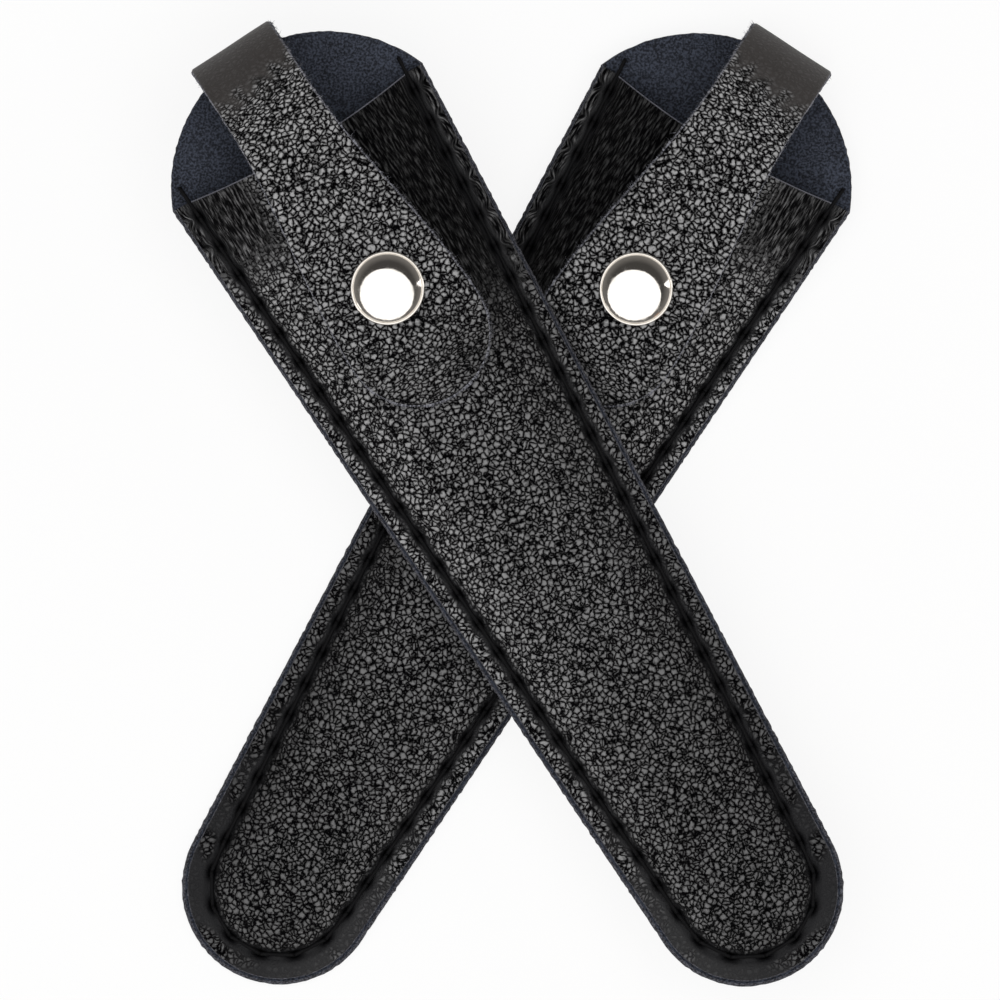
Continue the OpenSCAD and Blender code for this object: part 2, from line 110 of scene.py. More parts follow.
@dataclass
class Form:
    """A mesh before it is placed: points in millimetres, faces, and what each face and point carries."""

    points: Array
    quads: Array = field(default_factory=lambda: np.zeros((0, 4), int))
    tris: Array = field(default_factory=lambda: np.zeros((0, 3), int))
    quad_finish: Array | None = None
    tri_finish: Array | None = None
    flat_finishes: tuple[int, ...] = ()
    marks: dict[str, Array] = field(default_factory=dict)
    uv: Array | None = None

    def finishes(self, corners: int) -> Array:
        """The finish number of each face that has that many corners, 0 where none was given."""
        faces, given = (self.quads, self.quad_finish) if corners == 4 else (self.tris, self.tri_finish)
        return np.zeros(len(faces), int) if given is None else given


def signed_volume(points: Array, tris: Array) -> float:
    """Sum over the triangles of a . (b x c) / 6, which is positive where faces point outwards."""
    a, b, c = points[tris[:, 0]], points[tris[:, 1]], points[tris[:, 2]]
    return float(np.einsum("ij,ij->", a, np.cross(b, c)) / 6)


def make_object(name: str, form: Form, points: Array, finishes: Sequence[bpy.types.Material]) -> bpy.types.Object:
    """Makes a mesh object at the origin from a form whose points are already in the row frame.

    Args:
        name: The object's name.
        form: The form, for its faces, finishes, marks and UVs.
        points: The points in the row frame, in metres.
        finishes: The materials, in the order of the form's finish numbers.

    Returns:
        The new object, with its faces turned outwards.
    """
    quads, tris = form.quads, form.tris
    halves = np.vstack([quads[:, [0, 1, 2]], quads[:, [0, 2, 3]], tris])
    if signed_volume(points - points.mean(0), halves) < 0:
        quads, tris = quads[:, ::-1], tris[:, ::-1]
    loops = np.concatenate([quads.ravel(), tris.ravel()]).astype(np.int32)
    starts = np.concatenate([np.arange(len(quads)) * 4, len(quads) * 4 + np.arange(len(tris)) * 3])
    mesh = bpy.data.meshes.new(name)
    mesh.vertices.add(len(points))
    mesh.vertices.foreach_set("co", points.astype(np.float32).ravel())
    mesh.loops.add(len(loops))
    mesh.loops.foreach_set("vertex_index", loops)
    mesh.polygons.add(len(starts))
    mesh.polygons.foreach_set("loop_start", starts.astype(np.int32))
    number = np.concatenate([form.finishes(4), form.finishes(3)]).astype(np.int32)
    for finish in finishes:
        mesh.materials.append(finish)
    mesh.polygons.foreach_set("material_index", number)
    mesh.polygons.foreach_set("use_smooth", ~np.isin(number, form.flat_finishes))
    for mark, values in form.marks.items():
        layer = mesh.attributes.new(mark, "FLOAT", "POINT")
        layer.data.foreach_set("value", values.astype(np.float32))
    if form.uv is not None:
        layer = mesh.uv_layers.new(name="surface")
        layer.data.foreach_set("uv", form.uv[loops].astype(np.float32).ravel())
    mesh.update(calc_edges=True)
    mesh.validate()
    made = bpy.data.objects.new(name, mesh)
    bpy.context.scene.collection.objects.link(made)
    return made


def loop_faces(rows: int, sides: int, first: int = 0) -> tuple[Array, Array]:
    """Faces of a closed tube of rows of points, with a fan over each end.

    Args:
        rows: Number of rings.
        sides: Points in a ring.
        first: Number of the first point.

    Returns:
        The quads between neighbouring rings, and the triangles of the two end fans.
    """
    r, s = np.meshgrid(np.arange(rows - 1), np.arange(sides), indexing="ij")
    n = (s + 1) % sides
    quads = np.stack([r * sides + s, r * sides + n, (r + 1) * sides + n, (r + 1) * sides + s], -1).reshape(-1, 4)
    k = np.arange(1, sides - 1)
    low = np.stack([np.zeros_like(k), k + 1, k], -1)
    high = np.stack([np.zeros_like(k), k, k + 1], -1) + (rows - 1) * sides
    return quads + first, np.vstack([low, high]) + first


def many_tubes(rings: Array) -> Form:
    """One form of many closed tubes, from an array of points [tube, ring, side, xyz]."""
    tubes, rows, sides, _ = rings.shape
    quads, tris = loop_faces(rows, sides)
    shift = (np.arange(tubes) * rows * sides)[:, None, None]
    return Form(
        points=rings.reshape(-1, 3),
        quads=(quads[None] + shift).reshape(-1, 4),
        tris=(tris[None] + shift).reshape(-1, 3),
    )


def turned(profile: Sequence[tuple[float, float]], segments: int = 96) -> Form:
    """A solid of revolution about z, from a closed profile of (radius, height) points.

    A point on the axis is made once, so the pole is closed.

    Args:
        profile: Corners of the closed profile, in millimetres.
        segments: Steps round the axis.

    Returns:
        The closed form.
    """
    shape = np.array(profile, float)
    angle = np.arange(segments) * 2 * math.pi / segments
    on_axis = shape[:, 0] < 1e-6
    start = np.concatenate([[0], np.cumsum(np.where(on_axis, 1, segments))])
    points = np.vstack([
        [[0.0, 0.0, z]] if pole else np.stack([r * np.cos(angle), r * np.sin(angle), np.full(segments, z)], -1)
        for (r, z), pole in zip(shape, on_axis)
    ])
    k, n = np.arange(segments), (np.arange(segments) + 1) % segments
    quads, tris = [], []
    for i in range(len(shape)):
        j = (i + 1) % len(shape)
        if on_axis[i] and on_axis[j]:
            continue
        if on_axis[i]:
            tris.append(np.stack([np.full(segments, start[i]), start[j] + n, start[j] + k], -1))
        elif on_axis[j]:
            tris.append(np.stack([start[i] + k, start[i] + n, np.full(segments, start[j])], -1))
        else:
            quads.append(np.stack([start[i] + k, start[i] + n, start[j] + n, start[j] + k], -1))
    return Form(
        points=points,
        quads=np.vstack(quads) if quads else np.zeros((0, 4), int),
        tris=np.vstack(tris) if tris else np.zeros((0, 3), int),
    )


def rounded(corners: Sequence[tuple[float, float, float]], steps: int = 5) -> list[tuple[float, float]]:
    """A closed profile whose corners (x, y, radius) are rounded by quadratic curves.

    Each corner is replaced by the curve (1-t)^2 a + 2t(1-t) c + t^2 b, where c is the corner and a and b lie
    the corner's radius away along its two sides. A radius of 0 keeps the corner.

    Args:
        corners: Corners with their radii.
        steps: Points along each rounded corner, less one.

    Returns:
        The profile's points.
    """
    spots = np.array([c[:2] for c in corners], float)
    out: list[tuple[float, float]] = []
    for i, (x, y, radius) in enumerate(corners):
        here = np.array([x, y])
        if radius <= 0:
            out.append((x, y))
            continue
        before, after = spots[i - 1] - here, spots[(i + 1) % len(spots)] - here
        a = here + before * min(0.5, radius / np.linalg.norm(before))
        b = here + after * min(0.5, radius / np.linalg.norm(after))
        for t in np.linspace(0, 1, steps + 1):
            p = (1 - t) ** 2 * a + 2 * t * (1 - t) * here + t * t * b
            out.append((float(p[0]), float(p[1])))
    return out


def domed(radius: float, rim: float, top: float, steps: int = 22) -> list[tuple[float, float]]:
    """The crown of a cap, from its axis to its rim: height falls as the radius squared."""
    r = np.linspace(0, radius, steps)
    return [(float(a), float(rim + (top - rim) * (1 - (a / radius) ** 2))) for a in r]


# --- Sizes of a sheath ----------------------------------------------------------------------------


@dataclass(frozen=True)
class SheathSizes:
    """Sizes of one sheath in millimetres, as its solids have them, and the curves that follow from them."""

    length: float = 174.0
    mouth_w: float = 47.2
    tongue_h: float = 16.0
    toe_r: float = 16.0
    panel_t: float = 1.4
    pocket_gap: float = 6.4
    mouth_dip: float = 1.8
    dip_fade: float = 24.0
    inset_side: float = 0.4
    inset_toe: float = 0.9
    margin_mouth: float = 3.1
    margin_toe: float = 4.6
    stitch_pitch: float = 5.7
    thread_d: float = 0.7
    seam_start: float = 2.8
    layer_gap: float = 0.1
    furrow_depth: float = 0.4
    strap_t: float = 1.2
    strap_w: float = 15.2
    strap_tip_r: float = 12.0
    snap_at: float = 44.6
    past_snap: float = 20.7
    fold_out: float = 2.55
    fold_h: float = 13.8
    fold_low_r: float = 1.8
    lean: float = 2.2
    rivet_at: float = 10.0
    rivet_head_d: float = 7.0
    rivet_head_h: float = 0.8
    cap_d: float = 12.0
    cap_h: float = 2.1
    snap_gap: float = 3.3
    tip_clear: float = 0.9
    lift_past_mouth: float = 1.5
    lift_past_snap: float = 13.4
    anchor_past_rivet: float = 2.0

    @property
    def toe_c(self) -> float:
        """Distance from the top of the tongue to the toe's centre."""
        return self.length - self.toe_r

    @property
    def shoulder_x(self) -> float:
        """Half width at the shoulders."""
        return self.mouth_w / 2

    @property
    def seam_x(self) -> float:
        """Distance of the seam from the middle line at the shoulders."""
        return self.shoulder_x - self.margin_mouth

    @property
    def seam_r(self) -> float:
        """Radius of the seam round the toe."""
        return self.toe_r - self.margin_toe

    @property
    def front_base(self) -> float:
        """Height of the front panel's underside along the seam."""
        return self.panel_t + self.layer_gap

    @property
    def lift_h(self) -> float:
        """How far the strap and rivet lift the sheath's mouth."""
        return self.rivet_head_h + self.strap_t

    @property
    def anchor_z(self) -> float:
        """Height of the middle of the strap's leather behind the tongue."""
        return self.rivet_head_h + self.strap_t / 2

    @property
    def anchor_end(self) -> float:
        """Distance from the top of the tongue to the strap's end behind it."""
        return self.rivet_at + self.rivet_head_d / 2 + self.anchor_past_rivet

    @property
    def fold_high_r(self) -> float:
        """Radius of the fold's large upper bend, at the middle of the leather."""
        return self.fold_h - self.anchor_z - self.fold_low_r

    @property
    def fold_low_y(self) -> float:
        """Where the flat anchor ends and the fold's small lower bend starts."""
        return self.fold_out - self.strap_t / 2 - self.fold_low_r

    @property
    def flap_top(self) -> float:
        """Distance from the top of the tongue to the fold's crest."""
        return -(self.fold_low_y + self.fold_low_r - self.fold_high_r)

    @property
    def strap_tip(self) -> float:
        """Distance from the top of the tongue to the strap's tip."""
        return self.snap_at + self.past_snap

    def taper(self, x: float, r: float) -> float:
        """Angle in radians of the side that runs from half width x at the shoulders onto a toe of radius r."""
        drop = self.toe_c - self.tongue_h
        return math.atan(x / drop) - math.asin(r / math.hypot(x, drop))

    def half_width(self, d: Array | float, x: float, r: float) -> Array | float:
        """Half width at a distance d from the top, of an outline that has half width x at the shoulders."""
        return x - (d - self.tongue_h) * math.tan(self.taper(x, r))

    def lift(self, d: Array | float) -> Array | float:
        """Height of the back above the table at a distance d from the top: full at the mouth, 0 past the snap."""
        top, end = self.tongue_h + self.lift_past_mouth, self.snap_at + self.lift_past_snap
        return self.lift_h * smooth((end - d) / (end - top))

    def room(self, d: Array | float) -> Array | float:
        """Room in the middle of the pocket, which shrinks a little faster than the sheath narrows."""
        share = self.half_width(np.minimum(d, self.toe_c), self.seam_x, self.seam_r) / self.seam_x
        return self.pocket_gap * share**1.3

    @property
    def seam_a(self) -> float:
        """Taper of the seam, in radians."""
        return self.taper(self.seam_x, self.seam_r)

    @property
    def seam_top(self) -> float:
        """Distance from the top of the tongue to the first stitch hole."""
        return self.tongue_h - self.seam_start

    @property
    def seam_side(self) -> float:
        """Length of the seam's straight side."""
        return (self.toe_c + self.seam_r * math.sin(self.seam_a) - self.seam_top) / math.cos(self.seam_a)

    @property
    def seam_arc(self) -> float:
        """Length of the seam round the toe."""
        return (math.pi - 2 * self.seam_a) * self.seam_r

    @property
    def stitches(self) -> int:
        """Number of stitches."""
        return round((2 * self.seam_side + self.seam_arc) / self.stitch_pitch)

    @property
    def seam_step(self) -> float:
        """Distance from one stitch hole to the next."""
        return (2 * self.seam_side + self.seam_arc) / self.stitches

    def seam_points(self) -> Array:
        """The stitch holes' centres: even steps down the left side, round the toe and up the right side."""
        s = np.arange(self.stitches + 1) * self.seam_step
        whole = 2 * self.seam_side + self.seam_arc
        right = s > whole / 2
        near = np.where(right, whole - s, s)
        a = self.seam_a
        start = self.half_width(self.seam_top, self.seam_x, self.seam_r)
        turn = math.pi + a + (near - self.seam_side) / self.seam_r
        on_side = near <= self.seam_side
        x = np.where(on_side, near * math.sin(a) - start, self.seam_r * np.cos(turn))
        y = np.where(on_side, -self.seam_top - near * math.cos(a), self.seam_r * np.sin(turn) - self.toe_c)
        return np.stack([np.where(right, -x, x), y], -1)

    @property
    def pad_top(self) -> float:
        """Height of the front panel's face under the snap's stud."""
        return float(self.lift(self.snap_at) + self.front_base + self.room(self.snap_at) + self.panel_t)

    def strap_half(self, d: Array | float) -> Array | float:
        """Half width of the flap at a distance d: it widens smoothly from the fold to the tip's circle."""
        tip_c = self.strap_tip - self.strap_tip_r
        grown = smooth((d - self.flap_top) / (tip_c - self.flap_top))
        return self.strap_w / 2 + (self.strap_tip_r - self.strap_w / 2) * grown

    def flap_mid(self, d: Array) -> Array:
        """Height of the middle of the flap's leather: level at the snap, falling to the tip."""
        flat = self.cap_d / 2 + 1
        level = self.pad_top + self.snap_gap + self.strap_t / 2
        tip = float(self.lift(self.strap_tip) + self.front_base + self.room(self.strap_tip)) + self.panel_t
        tip += self.tip_clear + self.strap_t / 2
        share = smooth((d - self.flap_top) / (self.snap_at - flat - self.flap_top))
        before = self.fold_h + (level - self.fold_h) * share
        run = np.clip((d - self.snap_at - flat) / (self.past_snap - flat), 0, 1)
        return np.where(d < self.snap_at - flat, before, level + (tip - level) * run**1.25)

    def leaned(self, points: Array) -> Array:
        """Points turned about the snap by the strap's lean."""
        a = math.radians(self.lean)
        x, y = points[..., 0], points[..., 1] + self.snap_at
        return np.stack(
            [x * math.cos(a) - y * math.sin(a), x * math.sin(a) + y * math.cos(a) - self.snap_at, points[..., 2]], -1
        )


class Layer(Enum):
    """Which of the two crossed sheaths a piece belongs to."""

    LOWER = "lower"
    UPPER = "upper"


@dataclass(frozen=True)
class Berth:
    """Where a sheath lies in the row: the lower one is the upper one's mirror image, on the table."""

    layer: Layer
    sizes: SheathSizes
    cross_angle: float = 30.8
    cross_at: float = 84.0

    def place(self, points: Array) -> Array:
        """Points in millimetres in the sheath's frame, as metres in the row frame.

        The sheath is moved up its own length to the crossing, turned by the crossing angle, mirrored if it is the
        lower one, and set at the height and place of its packed back panel.

        Args:
            points: The points, in the sheath's frame.

        Returns:
            The points in the row frame.
        """
        a = math.radians(self.cross_angle)
        low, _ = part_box(f"{self.layer.value}_back_panel")
        foot = (self.cross_at - self.sizes.toe_c) * math.cos(a) - self.sizes.toe_r
        x, y = points[..., 0], points[..., 1] + self.cross_at
        side = 1.0 if self.layer is Layer.UPPER else -1.0
        return np.stack(
            [
                (x * math.cos(a) - y * math.sin(a)) * side * MM,
                (x * math.sin(a) + y * math.cos(a) - foot) * MM + low.y,
                points[..., 2] * MM + low.z,
            ],
            -1,
        )

    def node(self, piece: str) -> str:
        """A piece's name with its sheath's name before it."""
        return f"{self.layer.value}_{piece}"


# --- Finishes -------------------------------------------------------------------------------------


def linear(hexa: str, alpha: float = 1.0) -> tuple[float, float, float, float]:
    """An sRGB hex colour as linear red, green, blue and alpha.

    Args:
        hexa: The colour, such as "#1f1f21".
        alpha: The alpha value.

    Returns:
        The colour for a shader's socket.
    """
    parts = [int(hexa[i : i + 2], 16) / 255 for i in (1, 3, 5)]
    r, g, b = (c / 12.92 if c <= 0.04045 else ((c + 0.055) / 1.055) ** 2.4 for c in parts)
    return r, g, b, alpha


def add_node(tree: bpy.types.NodeTree, kind: str, *values: object, inputs: dict | None = None,
             out: int | str = 0, **settings: object) -> bpy.types.NodeSocket | None:
    """Adds a shader node with its settings, fills or links its inputs, and gives one of its outputs.

    Args:
        tree: The node tree.
        kind: The node's type, without "ShaderNode".
        values: What fills or feeds the first inputs, in order.
        inputs: What fills or feeds further inputs, by name or number.
        out: Name or number of the output to give.
        settings: The node's own properties.

    Returns:
        The output, or None where the node has none.
    """
    node = tree.nodes.new("ShaderNode" + kind)
    for name, value in settings.items():
        setattr(node, name, value)
    for name, value in {**dict(enumerate(values)), **(inputs or {})}.items():
        socket = node.inputs[name]
        if isinstance(value, bpy.types.NodeSocket):
            tree.links.new(value, socket)
        else:
            socket.default_value = value
    return node.outputs[out] if len(node.outputs) else None


def fresh_material(name: str) -> tuple[bpy.types.Material, Adder]:
    """An empty node material, and add_node bound to its tree."""
    made = bpy.data.materials.new(name)
    made.use_nodes = True
    made.node_tree.nodes.clear()
    return made, partial(add_node, made.node_tree)


def in_mm(add: Adder, surface: bool) -> bpy.types.NodeSocket:
    """Pattern coordinates in millimetres: the piece's own surface map, or its Object coordinates."""
    source = add("UVMap", uv_map="surface") if surface else add("TexCoord", out="Object")
    return add("VectorMath", source, inputs={"Scale": 1 / MM}, operation="SCALE")


def surface_shader(add: Adder, height: bpy.types.NodeSocket, strength: float, relief_mm: float, look: dict) -> None:
    """Ends a material in a Principled shader whose surface is raised by a height.

    Args:
        add: What adds a node to the material.
        height: The height, from 0 to 1.
        strength: Strength of the relief.
        relief_mm: Depth of the relief.
        look: The shader's other inputs, by name.
    """
    bump = add("Bump", inputs={"Height": height, "Strength": strength, "Distance": relief_mm * MM})
    add("OutputMaterial", add("BsdfPrincipled", inputs={**look, "Normal": bump}))


@dataclass(frozen=True)
class PebbledLeather:
    """Black cowhide, embossed with a pebble grain and polished.

    Flat-topped pebbles catch the light, and their crowns carry a painted highlight in the light grey top colour;
    the creases between them stay nearly black and without gloss, a painted shade in the creases. The pebble is
    about 0.9 mm across and a crease 0.2 mm. A piece's marks say where its leather differs: "press" where stitching
    or folding has flattened the grain, "tone" the painted light and shade on the pebbles, "deep" the painted shade
    inside a stitch hole, "drawn" where the leather is creased lengthwise, and "rub" on the raw edge of the mouth.
    """

    name: str
    surface: bool = False
    pebble_mm: float = 0.9
    warp_mm: float = 0.8
    # top is a painted highlight for the pebbles' crowns, flank is lighter than black hide and partly painted sheen, and
    # crease is near black, a painted shade in the creases.
    top: str = "#9a9a9b"
    flank: str = "#4c4c4d"
    crease: str = "#030304"
    pressed: str = "#1a1a1c"
    # hole is the near-black painted shade inside a stitch hole.
    hole: str = "#020203"
    raw: str = "#63646c"
    pressed_shine: float = 0.4
    relief_mm: float = 0.22
    roughness: float = 0.42
    crease_rougher: float = 0.3
    specular: float = 0.5

    def material(self) -> bpy.types.Material:
        """Cells warped by noise give the pebbles' height, which gives the bump, and colour and gloss with a painted
        highlight on the crowns and painted shade in the creases.

        The creases' width drifts with a second noise, so some of them close up, as on real pebbled hide.
        """
        made, add = fresh_material(self.name)
        at = in_mm(add, self.surface)
        # tone carries the painted light and shade on the pebbles, and deep the painted shade inside the stitch holes.
        press, tone, deep, drawn, rub = (
            add("Attribute", attribute_name=mark, out="Fac") for mark in ("press", "tone", "deep", "drawn", "rub")
        )
        warp = add("TexNoise", inputs={"Vector": at, "Scale": 1.3, "Detail": 2.0}, out="Color")
        warp = add("VectorMath", warp, (0.5, 0.5, 0.5), operation="SUBTRACT")
        warp = add("VectorMath", warp, inputs={"Scale": self.warp_mm}, operation="SCALE")
        warped = add("VectorMath", at, warp, operation="ADD")
        cells = add(
            "TexVoronoi", inputs={"Vector": warped, "Scale": 1 / self.pebble_mm}, out="Distance",
            feature="DISTANCE_TO_EDGE",
        )
        loose = add("TexNoise", inputs={"Vector": at, "Scale": 1.7, "Detail": 1.0})
        depth = add("Math", cells, add("MapRange", loose, 0.3, 0.7, -0.035, 0.055), operation="ADD")
        pebbles = add("MapRange", depth, 0.045, 0.15, interpolation_type="SMOOTHSTEP")
        # The crown of each pebble raises the bump and carries the painted highlight of the top colour.
        peak_highlight = add("MapRange", depth, 0.13, 0.36, interpolation_type="SMOOTHSTEP")
        # Drawn leather is creased lengthwise, every 0.35 mm across and every 2 mm along.
        along = add("VectorMath", at, (2.8, 0.5, 1.0), operation="MULTIPLY")
        streak = add("TexNoise", inputs={"Vector": along, "Scale": 1.0, "Detail": 3.0})
        low = add("MapRange", streak, 0.42, 0.66, interpolation_type="SMOOTHSTEP")
        high = add("MapRange", streak, 0.5, 0.75, 0.0, 0.6, interpolation_type="SMOOTHSTEP")
        pebbles = add("Mix", drawn, inputs={6: pebbles, 7: low}, out=2, data_type="RGBA")
        peak_highlight = add("Mix", drawn, inputs={6: peak_highlight, 7: high}, out=2, data_type="RGBA")
        # Where the grain is pressed flat its height is a level 0.5.
        grain = add("Math", 1.0, press, operation="SUBTRACT")
        height = add("Math", add("Math", pebbles, 0.5, operation="SUBTRACT"), grain, operation="MULTIPLY")
        height = add("Math", height, 0.5, operation="ADD")
        fine = add("TexNoise", inputs={"Vector": at, "Scale": 6.0, "Detail": 2.0})
        relief = height
        for layer, share in ((fine, 0.10), (peak_highlight, 0.25)):
            relief = add("Math", relief, add("Math", layer, share, operation="MULTIPLY"), operation="ADD")
        # Each layer of colour covers the ones before it by its share: the tops with their painted highlight, the
        # painted shade of the tone mark, the pressed grain, the painted shade in the stitch holes and the raw edge.
        painted_shade = add("Math", 1.0, tone, operation="SUBTRACT")
        speckle = add("MapRange", fine, 0.35, 0.7, interpolation_type="SMOOTHSTEP")
        crease, flank, pressed = linear(self.crease), linear(self.flank), linear(self.pressed)
        flat = add("Mix", speckle, inputs={6: pressed, 7: flank}, out=2, data_type="RGBA")
        flat = add("Mix", 0.8, inputs={6: flat, 7: pressed}, out=2, data_type="RGBA")
        tops_painted_highlight = add("Mix", peak_highlight, inputs={6: flank, 7: linear(self.top)}, out=2, data_type="RGBA")
        colour = crease
        for share, cover in (
            (pebbles, tops_painted_highlight), (painted_shade, crease), (press, flat), (deep, linear(self.hole)), (rub, linear(self.raw))
        ):
            colour = add("Mix", share, inputs={6: colour, 7: cover}, out=2, data_type="RGBA")
        # The gloss carries painted shade: it falls to nothing in the creases, is dimmed by the tone mark's painted
        # light and shade, and is taken out of the stitch holes.
        smooth_shine = (*(self.pressed_shine,) * 3, 1.0)
        shine = add("Mix", press, inputs={6: height, 7: smooth_shine}, out=2, data_type="RGBA")
        painted_light_gloss = add("MapRange", tone, 0.0, 0.5, 0.10, 1.0, interpolation_type="SMOOTHSTEP")
        for share in (painted_light_gloss, add("Math", 1.0, deep, operation="SUBTRACT")):
            shine = add("Math", shine, share, operation="MULTIPLY")
        black, white = linear("#000000"), linear("#ffffff")
        surface_shader(add, relief, 1.0, self.relief_mm, {
            "Base Color": colour,
            "Roughness": add("MapRange", height, 0.0, 1.0, self.roughness + self.crease_rougher, self.roughness),
            "Specular IOR Level": self.specular,
            "Specular Tint": add("Mix", shine, inputs={6: black, 7: white}, out=2, data_type="RGBA"),
        })
        return made


@dataclass(frozen=True)
class Suede:
    """The flesh side of dyed leather: a short navy-grey nap with lighter and darker tufts, and no gloss."""

    name: str
    surface: bool = False
    dark: str = "#15171d"
    light: str = "#3d424e"
    tuft_mm: float = 0.36
    nap_mm: float = 0.16

    def material(self) -> bpy.types.Material:
        """Noise at the tufts' size gives colour and bump, over a slow drift of brushed patches."""
        made, add = fresh_material(self.name)
        at = in_mm(add, self.surface)
        tuft = add("TexNoise", inputs={"Vector": at, "Scale": 1 / self.tuft_mm, "Detail": 3.0})
        brushed = add("TexNoise", inputs={"Vector": at, "Scale": 0.22, "Detail": 3.0})
        tone = add("MapRange", tuft, 0.36, 0.68, interpolation_type="SMOOTHSTEP")
        tone = add("Math", tone, add("Math", brushed, 0.4, operation="MULTIPLY"), operation="ADD")
        tone = add("Math", tone, 0.16, operation="SUBTRACT")
        surface_shader(add, tuft, 0.9, self.nap_mm, {
            "Base Color": add(
                "Mix", tone, inputs={6: linear(self.dark), 7: linear(self.light)}, out=2, data_type="RGBA"
            ),
            "Roughness": 0.95,
            "Specular IOR Level": 0.25,
            "Sheen Weight": 0.25,
            "Sheen Roughness": 0.5,
            "Sheen Tint": linear("#7d8494"),
        })
        return made


@dataclass(frozen=True)
class CutEdge:
    """The raw cut edge of dyed leather: grey-blue fibres, paler than either face and without gloss."""

    name: str
    surface: bool = False
    dark: str = "#2c2d33"
    light: str = "#8b8c94"

    def material(self) -> bpy.types.Material:
        """Noise at the size of the fibre bundles gives colour and bump."""
        made, add = fresh_material(self.name)
        at = in_mm(add, self.surface)
        fibre = add("TexNoise", inputs={"Vector": at, "Scale": 3.2, "Detail": 4.0})
        share = add("MapRange", fibre, 0.38, 0.66, interpolation_type="SMOOTHSTEP")
        surface_shader(add, fibre, 1.0, 0.12, {
            "Base Color": add(
                "Mix", share, inputs={6: linear(self.dark), 7: linear(self.light)}, out=2, data_type="RGBA"
            ),
            "Roughness": 0.9,
            "Specular IOR Level": 0.3,
        })
        return made


@dataclass(frozen=True)
class WaxedThread:
    """Black polyester sewing thread, twisted from two strands and waxed, with a soft shine."""

    name: str = "waxed_thread"
    dark: str = "#020203"
    light: str = "#0c0c0e"

    def material(self) -> bpy.types.Material:
        """Fine noise breaks up the wax's shine."""
        made, add = fresh_material(self.name)
        lint = add("TexNoise", inputs={"Vector": in_mm(add, False), "Scale": 5.0, "Detail": 3.0})
        surface_shader(add, lint, 0.6, 0.05, {
            "Base Color": add(
                "Mix", lint, inputs={6: linear(self.dark), 7: linear(self.light)}, out=2, data_type="RGBA"
            ),
            "Roughness": add("MapRange", lint, 0.3, 0.7, 0.6, 0.8, interpolation_type="SMOOTHSTEP"),
            "Specular IOR Level": 0.12,
        })
        return made


@dataclass(frozen=True)
class Plate:
    """Brass fittings with a nickel plate: mirror bright on the cap, and satin where the press has marked it."""

    name: str
    colour: str = "#e6e2dc"
    smeared: str = "#d3cdc5"
    roughness: float = 0.06
    wear: float = 0.06

    def material(self) -> bpy.types.Material:
        """Slow noise gives faint smears in the shine, and fine noise a trace of orange peel."""
        made, add = fresh_material(self.name)
        at = in_mm(add, False)
        smear = add("TexNoise", inputs={"Vector": at, "Scale": 0.5, "Detail": 5.0})
        peel = add("TexNoise", inputs={"Vector": at, "Scale": 1.6, "Detail": 1.0})
        worn = self.roughness + self.wear
        surface_shader(add, peel, 0.35, 0.01, {
            "Base Color": add(
                "Mix", smear, inputs={6: linear(self.colour), 7: linear(self.smeared)}, out=2, data_type="RGBA"
            ),
            "Metallic": 1.0,
            "Roughness": add("MapRange", smear, 0.45, 0.75, self.roughness, worn, interpolation_type="SMOOTHSTEP"),
        })
        return made


@dataclass(frozen=True)
class Finishes:
    """The materials that the pieces share."""

    panel_grain: bpy.types.Material
    strap_grain: bpy.types.Material
    panel_suede: bpy.types.Material
    strap_suede: bpy.types.Material
    panel_edge: bpy.types.Material
    strap_edge: bpy.types.Material
    thread: bpy.types.Material
    bright: bpy.types.Material
    satin: bpy.types.Material
    steel: bpy.types.Material

    @staticmethod
    def mixed_up() -> "Finishes":
        """Makes every finish once."""
        return Finishes(
            panel_grain=PebbledLeather("pebbled_panel_leather", surface=True).material(),
            strap_grain=PebbledLeather(
                "pebbled_strap_leather", surface=True, pebble_mm=0.95, pressed="#241f1d", pressed_shine=0.9
            ).material(),
            panel_suede=Suede("panel_suede").material(),
            strap_suede=Suede("strap_suede", surface=True).material(),
            panel_edge=CutEdge("panel_cut_edge", dark="#1b1b1f", light="#56575f").material(),
            strap_edge=CutEdge("strap_cut_edge", surface=True).material(),
            thread=WaxedThread().material(),
            bright=Plate("polished_nickel").material(),
            satin=Plate("satin_nickel", colour="#cfcac2", roughness=0.24, wear=0.12).material(),
            steel=Plate("drawn_spring_steel", colour="#a9abae", roughness=0.3, wear=0.1).material(),
        )


# --- Panels ---------------------------------------------------------------------------------------


@dataclass
class Rays:
    """Straight rays from a panel's middle line out to its edge, in order round the outline.

    Each ray starts at (0, -start), runs at an angle, crosses the seam at one reach and ends at another.
    """

    start: Array
    angle: Array
    seam: Array
    edge: Array
    along: Array
    middle: Array
    middles: Array

    def spots(self, reach: Array) -> tuple[Array, Array]:
        """x and y of the points at these reaches, one row for each ray."""
        x = reach * np.cos(self.angle)[:, None]
        y = reach * np.sin(self.angle)[:, None] - self.start[:, None]
        return x, y


